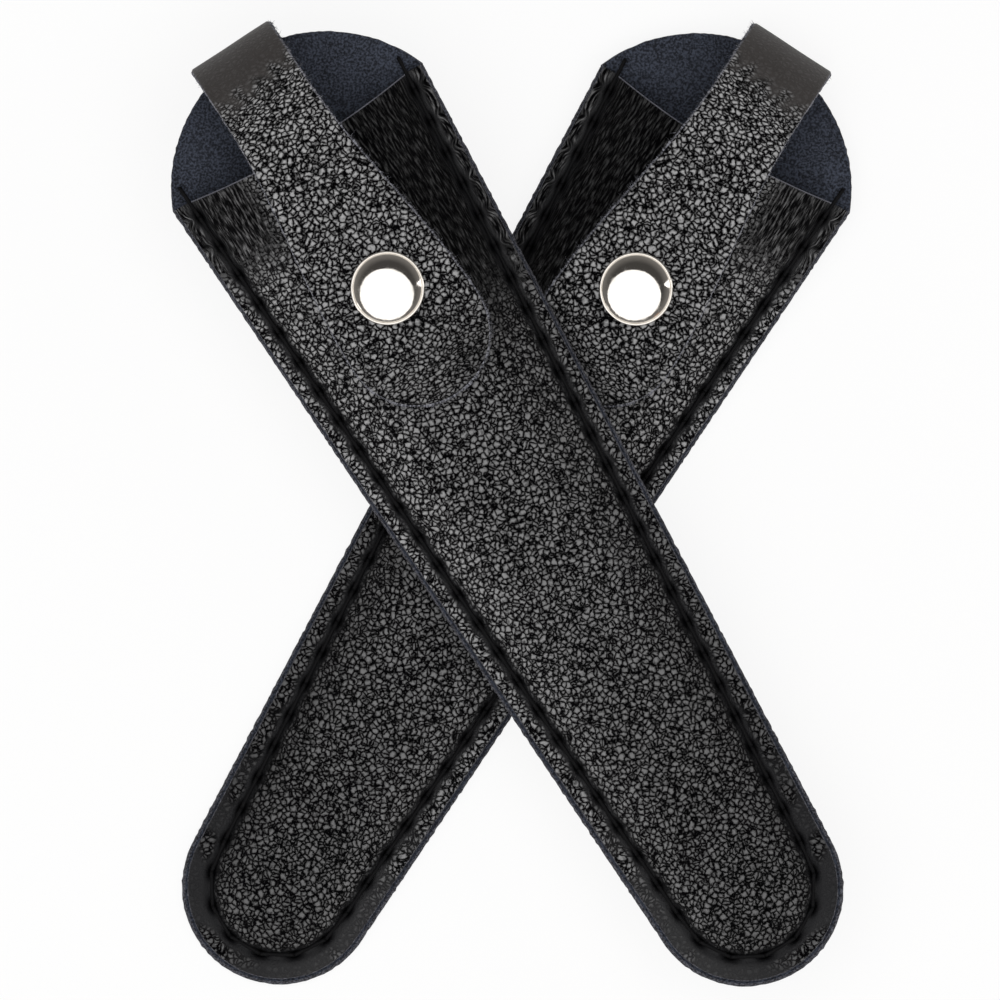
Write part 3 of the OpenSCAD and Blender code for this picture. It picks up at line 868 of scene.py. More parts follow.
@dataclass
class Panel:
    """What both panels share: rays over their outline, and shells built on them."""

    sizes: SheathSizes
    side_rays: int = 250
    toe_rays: int = 66
    tongue_rays: int = 90

    def rays(self, edge_x: float, edge_r: float, tongue: bool) -> Rays:
        """Rays level with each other down the left side, fanned round the toe and level up the right side.

        Args:
            edge_x: Half width of the outline at the shoulders.
            edge_r: Radius of the outline round the toe.
            tongue: Whether a fan over the round tongue closes the outline.

        Returns:
            The rays, with along as the distance down the seam from its first hole.
        """
        z = self.sizes
        d = np.linspace(z.tongue_h, z.toe_c, self.side_rays + 1)
        d = np.insert(d, 1, z.tongue_h + np.array([0.12, 0.26]))
        fan = math.pi * (1 + np.arange(1, self.toe_rays) / self.toe_rays)
        seam = z.half_width(d, z.seam_x, z.seam_r)
        edge = z.half_width(d, edge_x, edge_r)
        down = (d - z.seam_top) / math.cos(z.seam_a)
        whole = 2 * z.seam_side + z.seam_arc
        n_fan = len(fan)
        start = [d, np.full(n_fan, z.toe_c), d[::-1]]
        angle = [np.full(len(d), math.pi), fan, np.full(len(d), 2 * math.pi)]
        seams = [seam, np.full(n_fan, z.seam_r), seam[::-1]]
        edges = [edge, np.full(n_fan, edge_r), edge[::-1]]
        along = [down, down[-1] + (fan - math.pi) * z.seam_r, whole - down[::-1]]
        middle = [np.arange(len(d)), np.full(n_fan, len(d) - 1), np.arange(len(d))[::-1]]
        if tongue:
            arch = math.pi * np.arange(1, self.tongue_rays) / self.tongue_rays
            big = (z.shoulder_x**2 + z.tongue_h**2) / (2 * z.tongue_h)
            # A ray from (0, -tongue_h) meets the tongue's circle, whose centre is drop further down.
            drop = big - z.tongue_h
            reach = -drop * np.sin(arch) + np.sqrt(big**2 - (drop * np.cos(arch)) ** 2)
            start.append(np.full(len(arch), z.tongue_h))
            angle.append(arch)
            seams.append(reach - z.margin_mouth)
            edges.append(reach)
            along.append(np.full(len(arch), -z.stitch_pitch))
            middle.append(np.zeros(len(arch), int))
        return Rays(*(np.concatenate(v) for v in (start, angle, seams, edges, along, middle)), middles=d)

    def shell(self, rays: Rays, top: Array, rim: Array, under: Array, mids: tuple[Array, Array], closed: bool) -> Form:
        """A closed shell from rings of points on the rays: the top, the cut edge and the underside.

        Args:
            rays: The rays.
            top: Points of the top, [ray, level, xyz], from the middle outwards.
            rim: Points of the cut edge, from the top down.
            under: Points of the underside, as many as of the top and in the same order.
            mids: Points of the top and of the underside on the middle line.
            closed: Whether the last ray is next to the first one.

        Returns:
            The form, with finish 0 on top, 1 underneath and 2 on the cut edge.
        """
        sheet = np.concatenate([top, rim, under[:, ::-1]], axis=1)
        count, levels = sheet.shape[:2]
        n_top, n_mid = top.shape[1], len(mids[0])
        first = 2 * n_mid
        q = np.arange(count if closed else count - 1)
        n = (q + 1) % count
        level = np.arange(levels - 1)
        a = first + q[:, None] * levels + level
        b = first + n[:, None] * levels + level
        body = np.stack([a, a + 1, b + 1, b], -1).reshape(-1, 4)
        band = np.repeat([0, 2, 1], [n_top - 1, rim.shape[1] + 1, n_top - 1])
        same = rays.middle[q] == rays.middle[n]
        strips, fans = [], []
        for shift, ring, turn in ((0, 0, 1), (n_mid, levels - 1, -1)):
            i, j = first + q * levels + ring, first + n * levels + ring
            near, far = rays.middle[q] + shift, rays.middle[n] + shift
            strips.append(np.stack([near, i, j, far], -1)[~same][:, ::turn])
            fans.append(np.stack([near, i, j], -1)[same][:, ::turn])
        end_quads, end_tris = np.zeros((0, 4), int), np.zeros((0, 3), int)
        for ray, turn in () if closed else ((0, 1), (count - 1, -1)):
            line = first + ray * levels + np.arange(levels)
            high = np.concatenate([[rays.middle[ray]], line[:n_top]])
            low = np.concatenate([[rays.middle[ray] + n_mid], line[::-1][:n_top]])
            edge = line[n_top - 1 : levels - n_top + 1]
            face = np.stack([high[1:], high[:-1], low[:-1], low[1:]], -1)
            corner = np.stack([0 * edge[2:] + edge[0], edge[2:], edge[1:-1]], -1)
            end_quads = np.vstack([end_quads, face[:, ::turn]])
            end_tris = np.vstack([end_tris, corner[:, ::turn]])
        return Form(
            points=np.vstack([mids[0], mids[1], sheet.reshape(-1, 3)]),
            quads=np.vstack([body, *strips, end_quads]),
            tris=np.vstack([*fans, end_tris]),
            quad_finish=np.concatenate([
                np.tile(band, len(q)), np.repeat([0, 1, 2], [len(strips[0]), len(strips[1]), len(end_quads)])
            ]),
            tri_finish=np.repeat([0, 1, 2], [len(fans[0]), len(fans[1]), len(end_tris)]),
        )

    def marked(self, mid: Array, grid: Array, rings: int) -> Array:
        """A mark for every point of a shell, from its values on the middle line and on the top.

        Args:
            mid: Values on the middle line.
            grid: Values on the top, [ray, level, ...].
            rings: Rings of the cut edge, which take the value of the top's last level.

        Returns:
            The values in the order of the shell's points.
        """
        sheet = np.concatenate([grid, np.repeat(grid[:, -1:], rings, axis=1), grid[:, ::-1]], axis=1)
        return np.concatenate([mid, mid, sheet.reshape(-1, *mid.shape[1:])])

    def unrolled(self, rays: Rays, top: Array, top_mid: Array, rings: int) -> Array:
        """A surface map in metres, from the distance along each ray over the top, so the grain isn't stretched."""
        steps = np.diff(np.concatenate([top_mid[rays.middle][:, None], top], axis=1), axis=1)
        far = np.cumsum(np.linalg.norm(steps, axis=2), axis=1)
        x, y = rays.spots(far)
        mid = np.stack([0 * rays.middles, -rays.middles], -1)
        flat = self.marked(mid, np.stack([x, y], -1), rings)
        sheet = np.arange(len(flat)) >= 2 * len(mid)
        levels = 2 * top.shape[1] + rings
        below = (np.arange(len(flat)) - 2 * len(mid)) % levels >= top.shape[1] + rings
        return (flat + np.where(sheet & below, 230.0, 0.0)[:, None]) * MM

    def hole_distance(self, along: Array) -> Array:
        """Signed distance along the seam to the nearest stitch hole."""
        step = self.sizes.seam_step
        return (along + step / 2) % step - step / 2


@dataclass
class FrontPanel(Panel):
    """The pebbled front of a sheath, puffed up between its seams and drawn in along the stitching."""

    furrow_w: float = 0.95
    furrow_depth: float = 0.5
    dimple_depth: float = 0.8
    pucker: float = 0.2

    def rise(self, t: Array, d: Array) -> Array:
        """Swell of the pocket at a share t of the way to the seam: room times 1 - t^2.6, and 0 outside it."""
        return self.sizes.room(d) * (1 - np.clip(t, 0, 1) ** 2.6)

    def form(self) -> Form:
        """The panel's shell.

        The top's height is the lift of the back, the leather's thickness and the swell, less a furrow
        exp(-(o/w)^2) over the seam, where o is the distance outside it, and less a dimple at each stitch hole. Between
        the holes the leather bulges by the square of a cosine along the seam. The mouth's edge dips by a
        parabola across, which fades down the panel.

        Returns:
            The form, with the mark "press" where the grain is flattened.
        """
        z = self.sizes
        rays = self.rays(z.shoulder_x - z.inset_side, z.toe_r - z.inset_toe, tongue=False)
        inner = np.linspace(0, 1, 31)[1:]
        near = np.linspace(-2.6, 1.7, 24)[1:]
        outer = np.array([0.25, 0.5, 0.72, 0.86, 0.94, 1.0])
        seam, edge = rays.seam[:, None], rays.edge[:, None]
        cut = 0.16
        reach = np.hstack([
            inner * (seam - 2.6), seam + near, seam + 1.7 + outer * (edge - cut - seam - 1.7)
        ])
        x, y0 = rays.spots(reach)
        share = np.clip(1 - (-y0 - z.tongue_h) / z.dip_fade, 0, 1) * np.clip(1 - (x / z.seam_x) ** 2, 0, 1)
        y = y0 - z.mouth_dip * share
        d = rays.start[:, None] + 0 * reach
        o = reach - seam
        gap = self.hole_distance(rays.along)[:, None] + 0 * o
        base = z.lift(-y) + z.front_base
        swell = self.rise(reach / (seam - 0.55), d)
        arch = np.cos(math.pi * gap / z.seam_step) ** 2
        hole = bell(np.hypot(o / 0.62, gap / 1.0), 1.0)
        furrow = self.furrow_depth * bell(o, self.furrow_w) + self.dimple_depth * hole
        pucker = self.pucker * (0.5 - arch) * (bell(o + 1.5, 1.1) + 0.7 * bell(o - 1.2, 0.9))
        waves = 0.10 * ripple(x, y, 9.0, 11) * (1 - bell(o, 1.0)) + 0.12 * ripple(x, y, 26.0, 12) * (o < 0)
        lip = 0.10 * smooth((reach - edge + 0.5) / 0.34) ** 2
        top_z = base + z.panel_t + swell - furrow + pucker + waves - lip
        under_z = base + np.maximum(0, self.rise(reach / (seam - 1.05), d))
        worn = 0.05 * ripple(rays.along[:, None], 0 * rays.along[:, None], 1.3, 13)
        ring_reach = edge + np.array([[-0.03, 0.0]]) + worn
        ring_x, ring_y = rays.spots(ring_reach)
        ring_base = (z.lift(-ring_y) + z.front_base)
        rim = np.stack([ring_x, ring_y, ring_base + z.panel_t * np.array([[0.72, 0.3]])], -1)
        mid_d = rays.middles
        mid_y = -mid_d - z.mouth_dip * np.clip(1 - (mid_d - z.tongue_h) / z.dip_fade, 0, 1)
        mid_z = z.lift(-mid_y) + z.front_base + z.room(mid_d)
        mid_wave = 0.10 * ripple(0 * mid_y, mid_y, 9.0, 11) + 0.12 * ripple(0 * mid_y, mid_y, 26.0, 12)
        top = np.stack([x, y, top_z], -1)
        top_mid = np.stack([0 * mid_d, mid_y, mid_z + z.panel_t + mid_wave], -1)
        under_mid = np.stack([0 * mid_d, mid_y, mid_z], -1)
        form = self.shell(rays, top, rim, np.stack([x, y, under_z], -1), (top_mid, under_mid), closed=False)
        form.uv = self.unrolled(rays, top, top_mid, 2)
        # The grain is flattened in the furrow, and in patches outside it round the toe.
        toe = smooth((-y - (z.toe_c - 30)) / 34)
        patch = smooth(0.5 + 0.9 * ripple(x, y, 11.0, 14) + 1.3 * (toe - 0.45))
        press = bell(o - 0.1, 0.95 + 0.35 * arch, 4) + 0.9 * patch * toe * smooth((o - 0.2) / 0.6)
        marks = {
            "press": (0 * mid_d, np.clip(press, 0, 1)),
            # tone is painted light and shade.
            "tone": (self.tone(0 * mid_d, mid_d), self.tone(x, -y)),
            # This mark paints shade inside each stitch hole.
            "deep": (0 * mid_d, np.clip(1.25 * bell(np.hypot((o + 0.05) / 0.85, gap / 1.35), 1.0), 0, 1)),
            "drawn": (self.drawn(0 * mid_d, mid_d), self.drawn(x, -y0)),
            "rub": (1.0 * (mid_d < z.tongue_h + 0.2), (d < z.tongue_h + 0.2) * (np.abs(x) < z.seam_x) + 0.0 * x),
        }
        form.marks = {name: self.marked(mid, grid, 2) for name, (mid, grid) in marks.items()}
        return form

    def drawn(self, x: Array, d: Array) -> Array:
        """Where the leather is drawn into fine lengthwise creases: beside the mouth, between strap and seam."""
        inner = smooth((x - 3) / 5) * (1 - smooth((d - 44) / 18))
        outer = (1 - smooth((x + 13) / 4)) * (1 - smooth((d - 24) / 12))
        return np.clip(inner + outer, 0, 1)

    def tone(self, x: Array, d: Array) -> Array:
        """Painted light and shade on the pebbles: brightest on the outer side, painted shade beside the mouth and
        duller to the toe.
        """
        z = self.sizes
        # The level paints light on the outer side and shade inwards and towards the toe; inner and outer paint shade
        # beside the mouth on both sides of the strap, and margin paints light on the outer margin.
        level = 0.60 - 0.30 * smooth((d - 40) / 130) + 0.34 * smooth((-4 - x) / 9) * (1 - 0.5 * smooth((d - 60) / 90))
        level = level - 0.10 * smooth((x - 5) / 8)
        margin = smooth((np.abs(x) - z.half_width(d, z.seam_x, z.seam_r)) / 0.8)
        inner = smooth((x - 5) / 4) * (1 - smooth((d - 36) / 46)) * (1 - margin)
        outer = 0.62 * (1 - smooth((x + 13) / 4)) * (1 - smooth((d - 20) / 16)) * (1 - margin)
        return np.clip(level * (1 - 0.7 * inner) * (1 - outer) + 0.12 * margin * (x < 0), 0, 1)


@dataclass
class BackPanel(Panel):
    """The back of a sheath: suede inside, where the tongue shows it, and pebbled outside, with a stitching groove."""

    groove_depth: float = 0.75

    def form(self) -> Form:
        """The panel's shell: even leather on the lifted back, with a flat-bottomed groove underneath, exp(-(o/w)^4)."""
        z = self.sizes
        rays = self.rays(z.shoulder_x, z.toe_r, tongue=True)
        inner = np.linspace(0, 1, 17)[1:]
        near = np.linspace(-1.5, 1.5, 16)[1:]
        outer = np.array([0.4, 0.7, 0.88, 0.96, 1.0])
        seam, edge = rays.seam[:, None], rays.edge[:, None]
        # The toe's cut edge slopes more than the sides', and the tongue's is almost upright.
        sewn = (rays.along > -1)[:, None]
        cut = np.where(sewn, 0.34 + 0.2 * smooth((rays.start[:, None] - 130) / 25), 0.12)
        reach = np.hstack([inner * (seam - 1.5), seam + near, seam + 1.5 + outer * (edge - cut - seam - 1.5)])
        x, y = rays.spots(reach)
        o = reach - seam
        base = z.lift(-y)
        holes = z.seam_points()[[0, -1]]
        pinned = sum(bell(np.hypot(x - hx, y - hy), 0.6) for hx, hy in holes)
        nap = 0.05 * ripple(x, y, 2.6, 21) + 0.08 * ripple(x, y, 14.0, 22)
        top_z = base + z.panel_t + nap * (-y < z.tongue_h + 4) - 0.7 * pinned
        under_z = base + self.groove_depth * bell(o, 0.55, 4) * sewn + 0.22 * smooth((reach - edge + 0.7) / 0.4) ** 2
        worn = 0.05 * ripple(edge * np.cos(rays.angle)[:, None], y[:, -1:], 0.9, 23)
        ring_x, ring_y = rays.spots(edge + np.array([[-0.5, 0.0, 0.0]]) * cut + worn)
        rim = np.stack([ring_x, ring_y, z.lift(-ring_y) + z.panel_t * np.array([[0.86, 0.55, 0.25]])], -1)
        mid_z = z.lift(rays.middles)
        line = np.stack([0 * mid_z, -rays.middles, mid_z], -1)
        top, top_mid = np.stack([x, y, top_z], -1), line + [0, 0, z.panel_t]
        form = self.shell(rays, top, rim, np.stack([x, y, under_z], -1), (top_mid, line), closed=True)
        form.uv = self.unrolled(rays, top, top_mid, 3)
        form.marks["press"] = self.marked(0 * mid_z, bell(o, 0.9, 4) * sewn, 3)
        # An even level of the tone mark's painted light and shade on the back.
        form.marks["tone"] = np.full(len(form.points), 0.6)
        return form


# --- Stitching ------------------------------------------------------------------------------------


@dataclass
class Stitching:
    """The two threads of the seam, each stitch a bar between two holes with its ends drawn down into them."""

    sizes: SheathSizes
    rings: int = 25
    sides: int = 12
    turns: float = 3.2
    hole_r: float = 0.16
    clear: float = 0.05

    def bars(self, heights: Array, depth: float, up: bool) -> Form:
        """Stitches as twisted two-strand thread along flattened arches.

        Each arch is a superellipse (cos^0.4, sin^0.4) from hole to hole, and its round section is pinched twice a turn,
        with the pinch winding along the stitch.

        Args:
            heights: Height of the thread's middle above the sheath's back at both ends of each bar, [stitch, 2].
            depth: How far the ends run into the holes.
            up: Whether the ends go up, as on the back.

        Returns:
            One form of every stitch.
        """
        z = self.sizes
        holes = z.seam_points()
        a, b = holes[:-1], holes[1:]
        along = (b - a) / np.linalg.norm(b - a, axis=1, keepdims=True)
        half = np.linalg.norm(b - a, axis=1) / 2 - self.hole_r
        middle = (a + b) / 2
        turn = np.linspace(math.pi, 0, self.rings)
        run = np.sign(np.cos(turn)) * np.abs(np.cos(turn)) ** 0.4
        fall = np.abs(np.sin(turn)) ** 0.4
        sign = -1.0 if up else 1.0
        level = heights[:, :1] * (1 - run) / 2 + heights[:, 1:] * (1 + run) / 2
        path = np.zeros((len(a), self.rings, 3))
        path[..., :2] = middle[:, None] + along[:, None] * (half[:, None] * run)[..., None]
        path[..., 2] = z.lift(-path[..., 1]) + level - sign * depth * (1 - fall)
        heading = np.gradient(path, axis=1)
        heading /= np.linalg.norm(heading, axis=2, keepdims=True)
        across = np.stack([-along[:, 1], along[:, 0], 0 * along[:, 0]], -1)[:, None] + 0 * heading
        third = np.cross(across, heading)
        phi = np.arange(self.sides) * 2 * math.pi / self.sides
        wind = np.linspace(0, self.turns * 2 * math.pi, self.rings)
        radius = z.thread_d / 2 * (0.74 + 0.26 * np.abs(np.cos(phi[None] - wind[:, None])))
        ring = (
            across[:, :, None] * (radius * np.cos(phi))[None, ..., None]
            + third[:, :, None] * (radius * np.sin(phi))[None, ..., None]
        )
        return many_tubes(path[:, :, None] + ring)

    def front(self) -> Form:
        """The thread on the front, whose first and last stitches climb from the tongue over the mouth's corners."""
        z = self.sizes
        level = z.front_base + z.panel_t - z.furrow_depth + z.thread_d / 2 + self.clear
        heights = np.full((z.stitches, 2), level)
        low = z.panel_t + z.thread_d / 2 + 0.1
        heights[0, 0] = heights[-1, 1] = low
        return self.bars(heights, 0.85, up=False)

    def back(self) -> Form:
        """The thread in the groove on the back."""
        z = self.sizes
        return self.bars(np.full((z.stitches, 2), z.thread_d / 2 + self.clear), 0.7, up=True)


# --- Strap ----------------------------------------------------------------------------------------


@dataclass
class Strap(Panel):
    """One strip of leather: riveted behind the tongue, folded over the mouth, and down the front to a round tip.

    It is drawn flat first, with x across and v along the leather from the end behind the tongue, and then bent.
    """

    side_rays: int = 280
    toe_rays: int = 72
    bevel: float = 0.16
    bevel_right: float = 0.10
    bevel_tip: float = 0.34
    sunk_depth: float = 0.22
    sunk_reach: float = 1.6
    sway_h: float = 0.08
    hair_mm: float = 0.15
    hair_r: tuple[float, float] = (0.03, 0.06)

    def __post_init__(self) -> None:
        """Works out the middle of the leather, seen from the side, and the distance along it.

        Two straight runs are joined by a small and a large quarter circle. The flap's grain is squeezed beside the
        fold and at the tip, so the surface map runs ahead of the distance there.
        """
        z = self.sizes
        r1, r2 = z.fold_low_r, z.fold_high_r
        low = np.linspace(-math.pi / 2, 0, 30)[1:]
        high = np.linspace(0, math.pi / 2, 90)[1:]
        d = np.linspace(z.flap_top, z.strap_tip, 260)[1:]
        flat = np.linspace(-z.anchor_end, z.fold_low_y, 40)
        y = np.concatenate([flat, z.fold_low_y + r1 * np.cos(low), z.fold_low_y + r1 - r2 + r2 * np.cos(high), -d])
        h = np.concatenate([
            0 * flat + z.anchor_z,
            z.anchor_z + r1 + r1 * np.sin(low),
            z.anchor_z + r1 + r2 * np.sin(high),
            z.flap_mid(d),
        ])
        self.line = np.stack([y, h], -1)
        self.far = np.concatenate([[0], np.cumsum(np.hypot(np.diff(y), np.diff(h)))])
        heading = np.gradient(self.line, self.far, axis=0)
        heading /= np.linalg.norm(heading, axis=1, keepdims=True)
        self.out = np.stack([heading[:, 1], -heading[:, 0]], -1)
        self.crest = self.at_d(z.flap_top)
        squeeze = 1 + 0.9 * bell(self.far - self.crest + 1, 6) + 0.45 * smooth((self.far - self.at_d(52)) / 8)
        self.drawn_far = np.concatenate([[0], np.cumsum(np.diff(self.far) * squeeze[1:])])

    def at_d(self, d: float) -> float:
        """Distance along the leather to a point of the flap at a distance d from the top of the tongue."""
        flap = self.far >= self.far[-1] - self.flap_run - 1e-9
        return float(np.interp(d, -self.line[flap, 0], self.far[flap]))

    @property
    def flap_run(self) -> float:
        """Length of the leather from the fold's crest to the tip."""
        on = -self.line[:, 0] >= self.sizes.flap_top - 1e-9
        on &= self.line[:, 1] > self.sizes.anchor_z + 2
        return float(self.far[-1] - self.far[on][0])

    def bent(self, x: Array, v: Array, height: Array) -> Array:
        """Points of the flat strap, bent to its line and leaned: the line at v plus the height along its normal."""
        y = np.interp(v, self.far, self.line[:, 0]) + np.interp(v, self.far, self.out[:, 0]) * height
        h = np.interp(v, self.far, self.line[:, 1]) + np.interp(v, self.far, self.out[:, 1]) * height
        return self.sizes.leaned(np.stack([x, y, h], -1))

    def d_at(self, v: Array) -> Array:
        """Distance from the top of the tongue to a point at a distance v along the leather."""
        return -np.interp(v, self.far, self.line[:, 0])

    def half(self, v: Array) -> Array:
        """Half width at a distance v along the leather."""
        return np.where(v < self.crest, self.sizes.strap_w / 2, self.sizes.strap_half(self.d_at(v)))

    def sunk(self, x: Array, v: Array) -> Array:
        """How far the snap's cap presses the flap down round its rim."""
        past_rim = np.hypot(x, self.d_at(v) - self.sizes.snap_at) - self.sizes.cap_d / 2 - 0.2
        return self.sunk_depth * bell(past_rim, self.sunk_reach) * (v > self.crest)

    def sway(self, x: Array, v: Array) -> Array:
        """Slow waves of the leather, which start where it leaves the sheath."""
        return self.sway_h * ripple(x, v, 12.0, 33) * smooth((v - 16) / 8)

    def outline(self) -> tuple[Rays, Array]:
        """Rays over the flat strap, and the stretch of the round tip, which is longer along the leather than across."""
        z = self.sizes
        w, tip = z.strap_w / 2, self.at_d(z.strap_tip - z.strap_tip_r)
        v = np.linspace(w, tip, self.side_rays + 1)
        round_tip = math.pi * (1 - np.arange(1, self.toe_rays) / self.toe_rays)
        round_end = -math.pi * np.arange(1, self.toe_rays // 2) / (self.toe_rays // 2)
        n_tip, n_end, last = len(round_tip), len(round_end), len(v) - 1
        start = np.concatenate([v, np.full(n_tip, tip), v[::-1], np.full(n_end, w)])
        angle = np.concatenate([np.full(len(v), math.pi), round_tip, np.zeros(len(v)), round_end])
        edge = np.concatenate([self.half(v), np.full(n_tip, z.strap_tip_r), self.half(v[::-1]), np.full(n_end, w)])
        down = np.arange(len(v))
        middle = np.concatenate([down, np.full(n_tip, last), down[::-1], np.zeros(n_end, int)])
        stretch = np.ones(len(start))
        stretch[len(v) : len(v) + n_tip] = (self.far[-1] - tip) / z.strap_tip_r
        return Rays(start, angle, edge, edge, start, middle, v), stretch

    def form(self) -> Form:
        """The strap's shell, cut on a slope, so its raw edge shows as a ragged band, widest round the tip.

        Just inside the tip's edge runs a low ridge over a thin crease. The leather is pressed down round the snap's
        cap, and sways a little.

        Returns:
            The form, with finish 0 for the grain, 1 for the flesh and 2 for the cut edge.
        """
        z = self.sizes
        rays, stretch = self.outline()
        cos, sin = np.cos(rays.angle)[:, None], (np.sin(rays.angle) * stretch)[:, None]
        edge = rays.edge[:, None]
        tip = np.clip(sin, 0, 1) * (rays.start > self.crest + 5)[:, None]
        cut = self.bevel + self.bevel_right * (cos > 0) * (1 - tip) + self.bevel_tip * tip
        inner = np.linspace(0, 1, 17)[1:]
        near = np.array([0.12, 0.25, 0.38, 0.5, 0.6, 0.7, 0.8, 0.88, 0.95, 1.0])
        reach = np.hstack([inner * (edge - 1.7), edge - 1.7 + near * (1.7 - cut)])
        x, v = reach * cos, rays.start[:, None] + reach * sin
        e = edge - reach - cut
        sunk, sway = self.sunk(x, v), self.sway(x, v)
        lip = 0.14 * smooth((0.3 - e) / 0.3) ** 2 + tip * (0.13 * bell(e - 0.16, 0.13) - 0.10 * bell(e - 0.48, 0.18))
        top_h = z.strap_t / 2 - sunk - lip + sway
        around = rays.start[:, None] + 9 * rays.angle[:, None]
        ragged = (0.07 + 0.07 * tip) * (ripple(around, 0 * around, 1.2, 31) + 0.7 * ripple(around, 0 * around, 0.5, 32))
        ring = edge + np.array([[-0.55, -0.12, 0.0]]) * cut + ragged * np.array([[0.5, 1.0, 0.8]])
        ring_h = z.strap_t * np.array([[0.30, 0.08, -0.28]]) + 0 * ring
        low_reach = reach * (edge - 0.06) / (edge - cut)
        top = self.bent(x, v, top_h)
        rim = self.bent(ring * cos, rays.start[:, None] + ring * sin, ring_h)
        under_h = 0 * low_reach - z.strap_t / 2 + sway - sunk
        under = self.bent(low_reach * cos, rays.start[:, None] + low_reach * sin, under_h)
        mid = rays.middles
        mid_h = self.sway(0 * mid, mid) - self.sunk(0 * mid, mid)
        mids = (self.bent(0 * mid, mid, mid_h + z.strap_t / 2), self.bent(0 * mid, mid, mid_h - z.strap_t / 2))
        form = self.shell(rays, top, rim, under, mids, closed=True)
        mapped = np.stack([x, np.interp(v, self.far, self.drawn_far)], -1)
        mid_map = np.stack([0 * mid, np.interp(mid, self.far, self.drawn_far)], -1)
        form.uv = self.marked(mid_map, mapped, 3) * MM
        # tone is painted light and shade along the strap.
        for name, mark in (("press", self.smoothed), ("tone", self.tone)):
            form.marks[name] = self.marked(mark(0 * mid, mid), mark(x, v), 3)
        return form

    def smoothed(self, x: Array, v: Array) -> Array:
        """Where the fold has stretched the grain smooth: from behind the tongue to a little before the crest."""
        blur = 0.7 * ripple(x, v, 3.0, 34)
        from_crest = v - self.crest
        return 0.96 * smooth((from_crest + 24) / 6) * (1 - smooth((from_crest + 5.2 + 0.12 * x + blur) / 4.2))

    def tone(self, x: Array, v: Array) -> Array:
        """Painted light and shade on the pebbles: brightest below the fold, with painted shade towards the tip."""
        d = self.d_at(v)
        # Painted shade towards the tip, most on its right side.
        painted_shade = smooth((d - 47) / 16) * (0.30 + 0.28 * smooth((x + 4) / 10))
        return np.where(v > self.crest, 0.98 - 0.10 * smooth((d - 20) / 25) - painted_shade, 0.9)

    def fibres(self, count: int, seed: int) -> Form:
        """Loose fibres along the cut edge: thin tapered hairs with a random lean and curl.

        Most of them stand on the right edge and round the tip.

        Args:
            count: Number of hairs.
            seed: Seed of the random draws.

        Returns:
            One form of every hair, closed at both ends.
        """
        draw = np.random.default_rng(seed)
        rays, stretch = self.outline()
        shows = rays.start > 19
        weight = np.where(np.cos(rays.angle) > 0.3, 1.0, 0.22) + 1.1 * (np.abs(np.sin(rays.angle)) > 0.1)
        weight = np.where(shows, weight, 0.0)
        ray = draw.choice(len(weight), count, p=weight / weight.sum())
        cos, sin = np.cos(rays.angle)[ray], np.sin(rays.angle)[ray]
        reach = rays.edge[ray] - 0.08
        along = rays.start[ray] + draw.uniform(-0.2, 0.2, count)
        root = np.stack([reach * cos, along + reach * sin * stretch[ray], draw.uniform(-0.45, 0.4, count)], -1)
        lean = np.stack([cos, sin, 0 * cos], -1) + draw.normal(0, 0.8, (count, 3))
        lean /= np.linalg.norm(lean, axis=1, keepdims=True)
        curl = draw.normal(0, 0.4, (count, 3))
        long = draw.gamma(2.0, self.hair_mm, count)[:, None]
        t = np.linspace(0, 1, 4)
        path = root[:, None] + (lean * long)[:, None] * t[None, :, None]
        path = path + (curl * long)[:, None] * (t**2)[None, :, None]
        aside = np.cross(lean, draw.normal(0, 1, (count, 3)))
        aside /= np.linalg.norm(aside, axis=1, keepdims=True)
        other = np.cross(lean, aside)
        phi = np.arange(3) * 2 * math.pi / 3
        radius = (draw.uniform(*self.hair_r, count)[:, None] * (1 - 0.75 * t))[..., None, None]
        round_it = aside[:, None, None] * np.cos(phi)[None, None, :, None]
        round_it = round_it + other[:, None, None] * np.sin(phi)[None, None, :, None]
        hairs = many_tubes(path[:, :, None] + round_it * radius)
        flat = hairs.points
        hairs.uv = flat[:, :2] * MM
        hairs.points = self.bent(flat[:, 0], flat[:, 1], flat[:, 2])
        return hairs


# --- Metal fittings -------------------------------------------------------------------------------


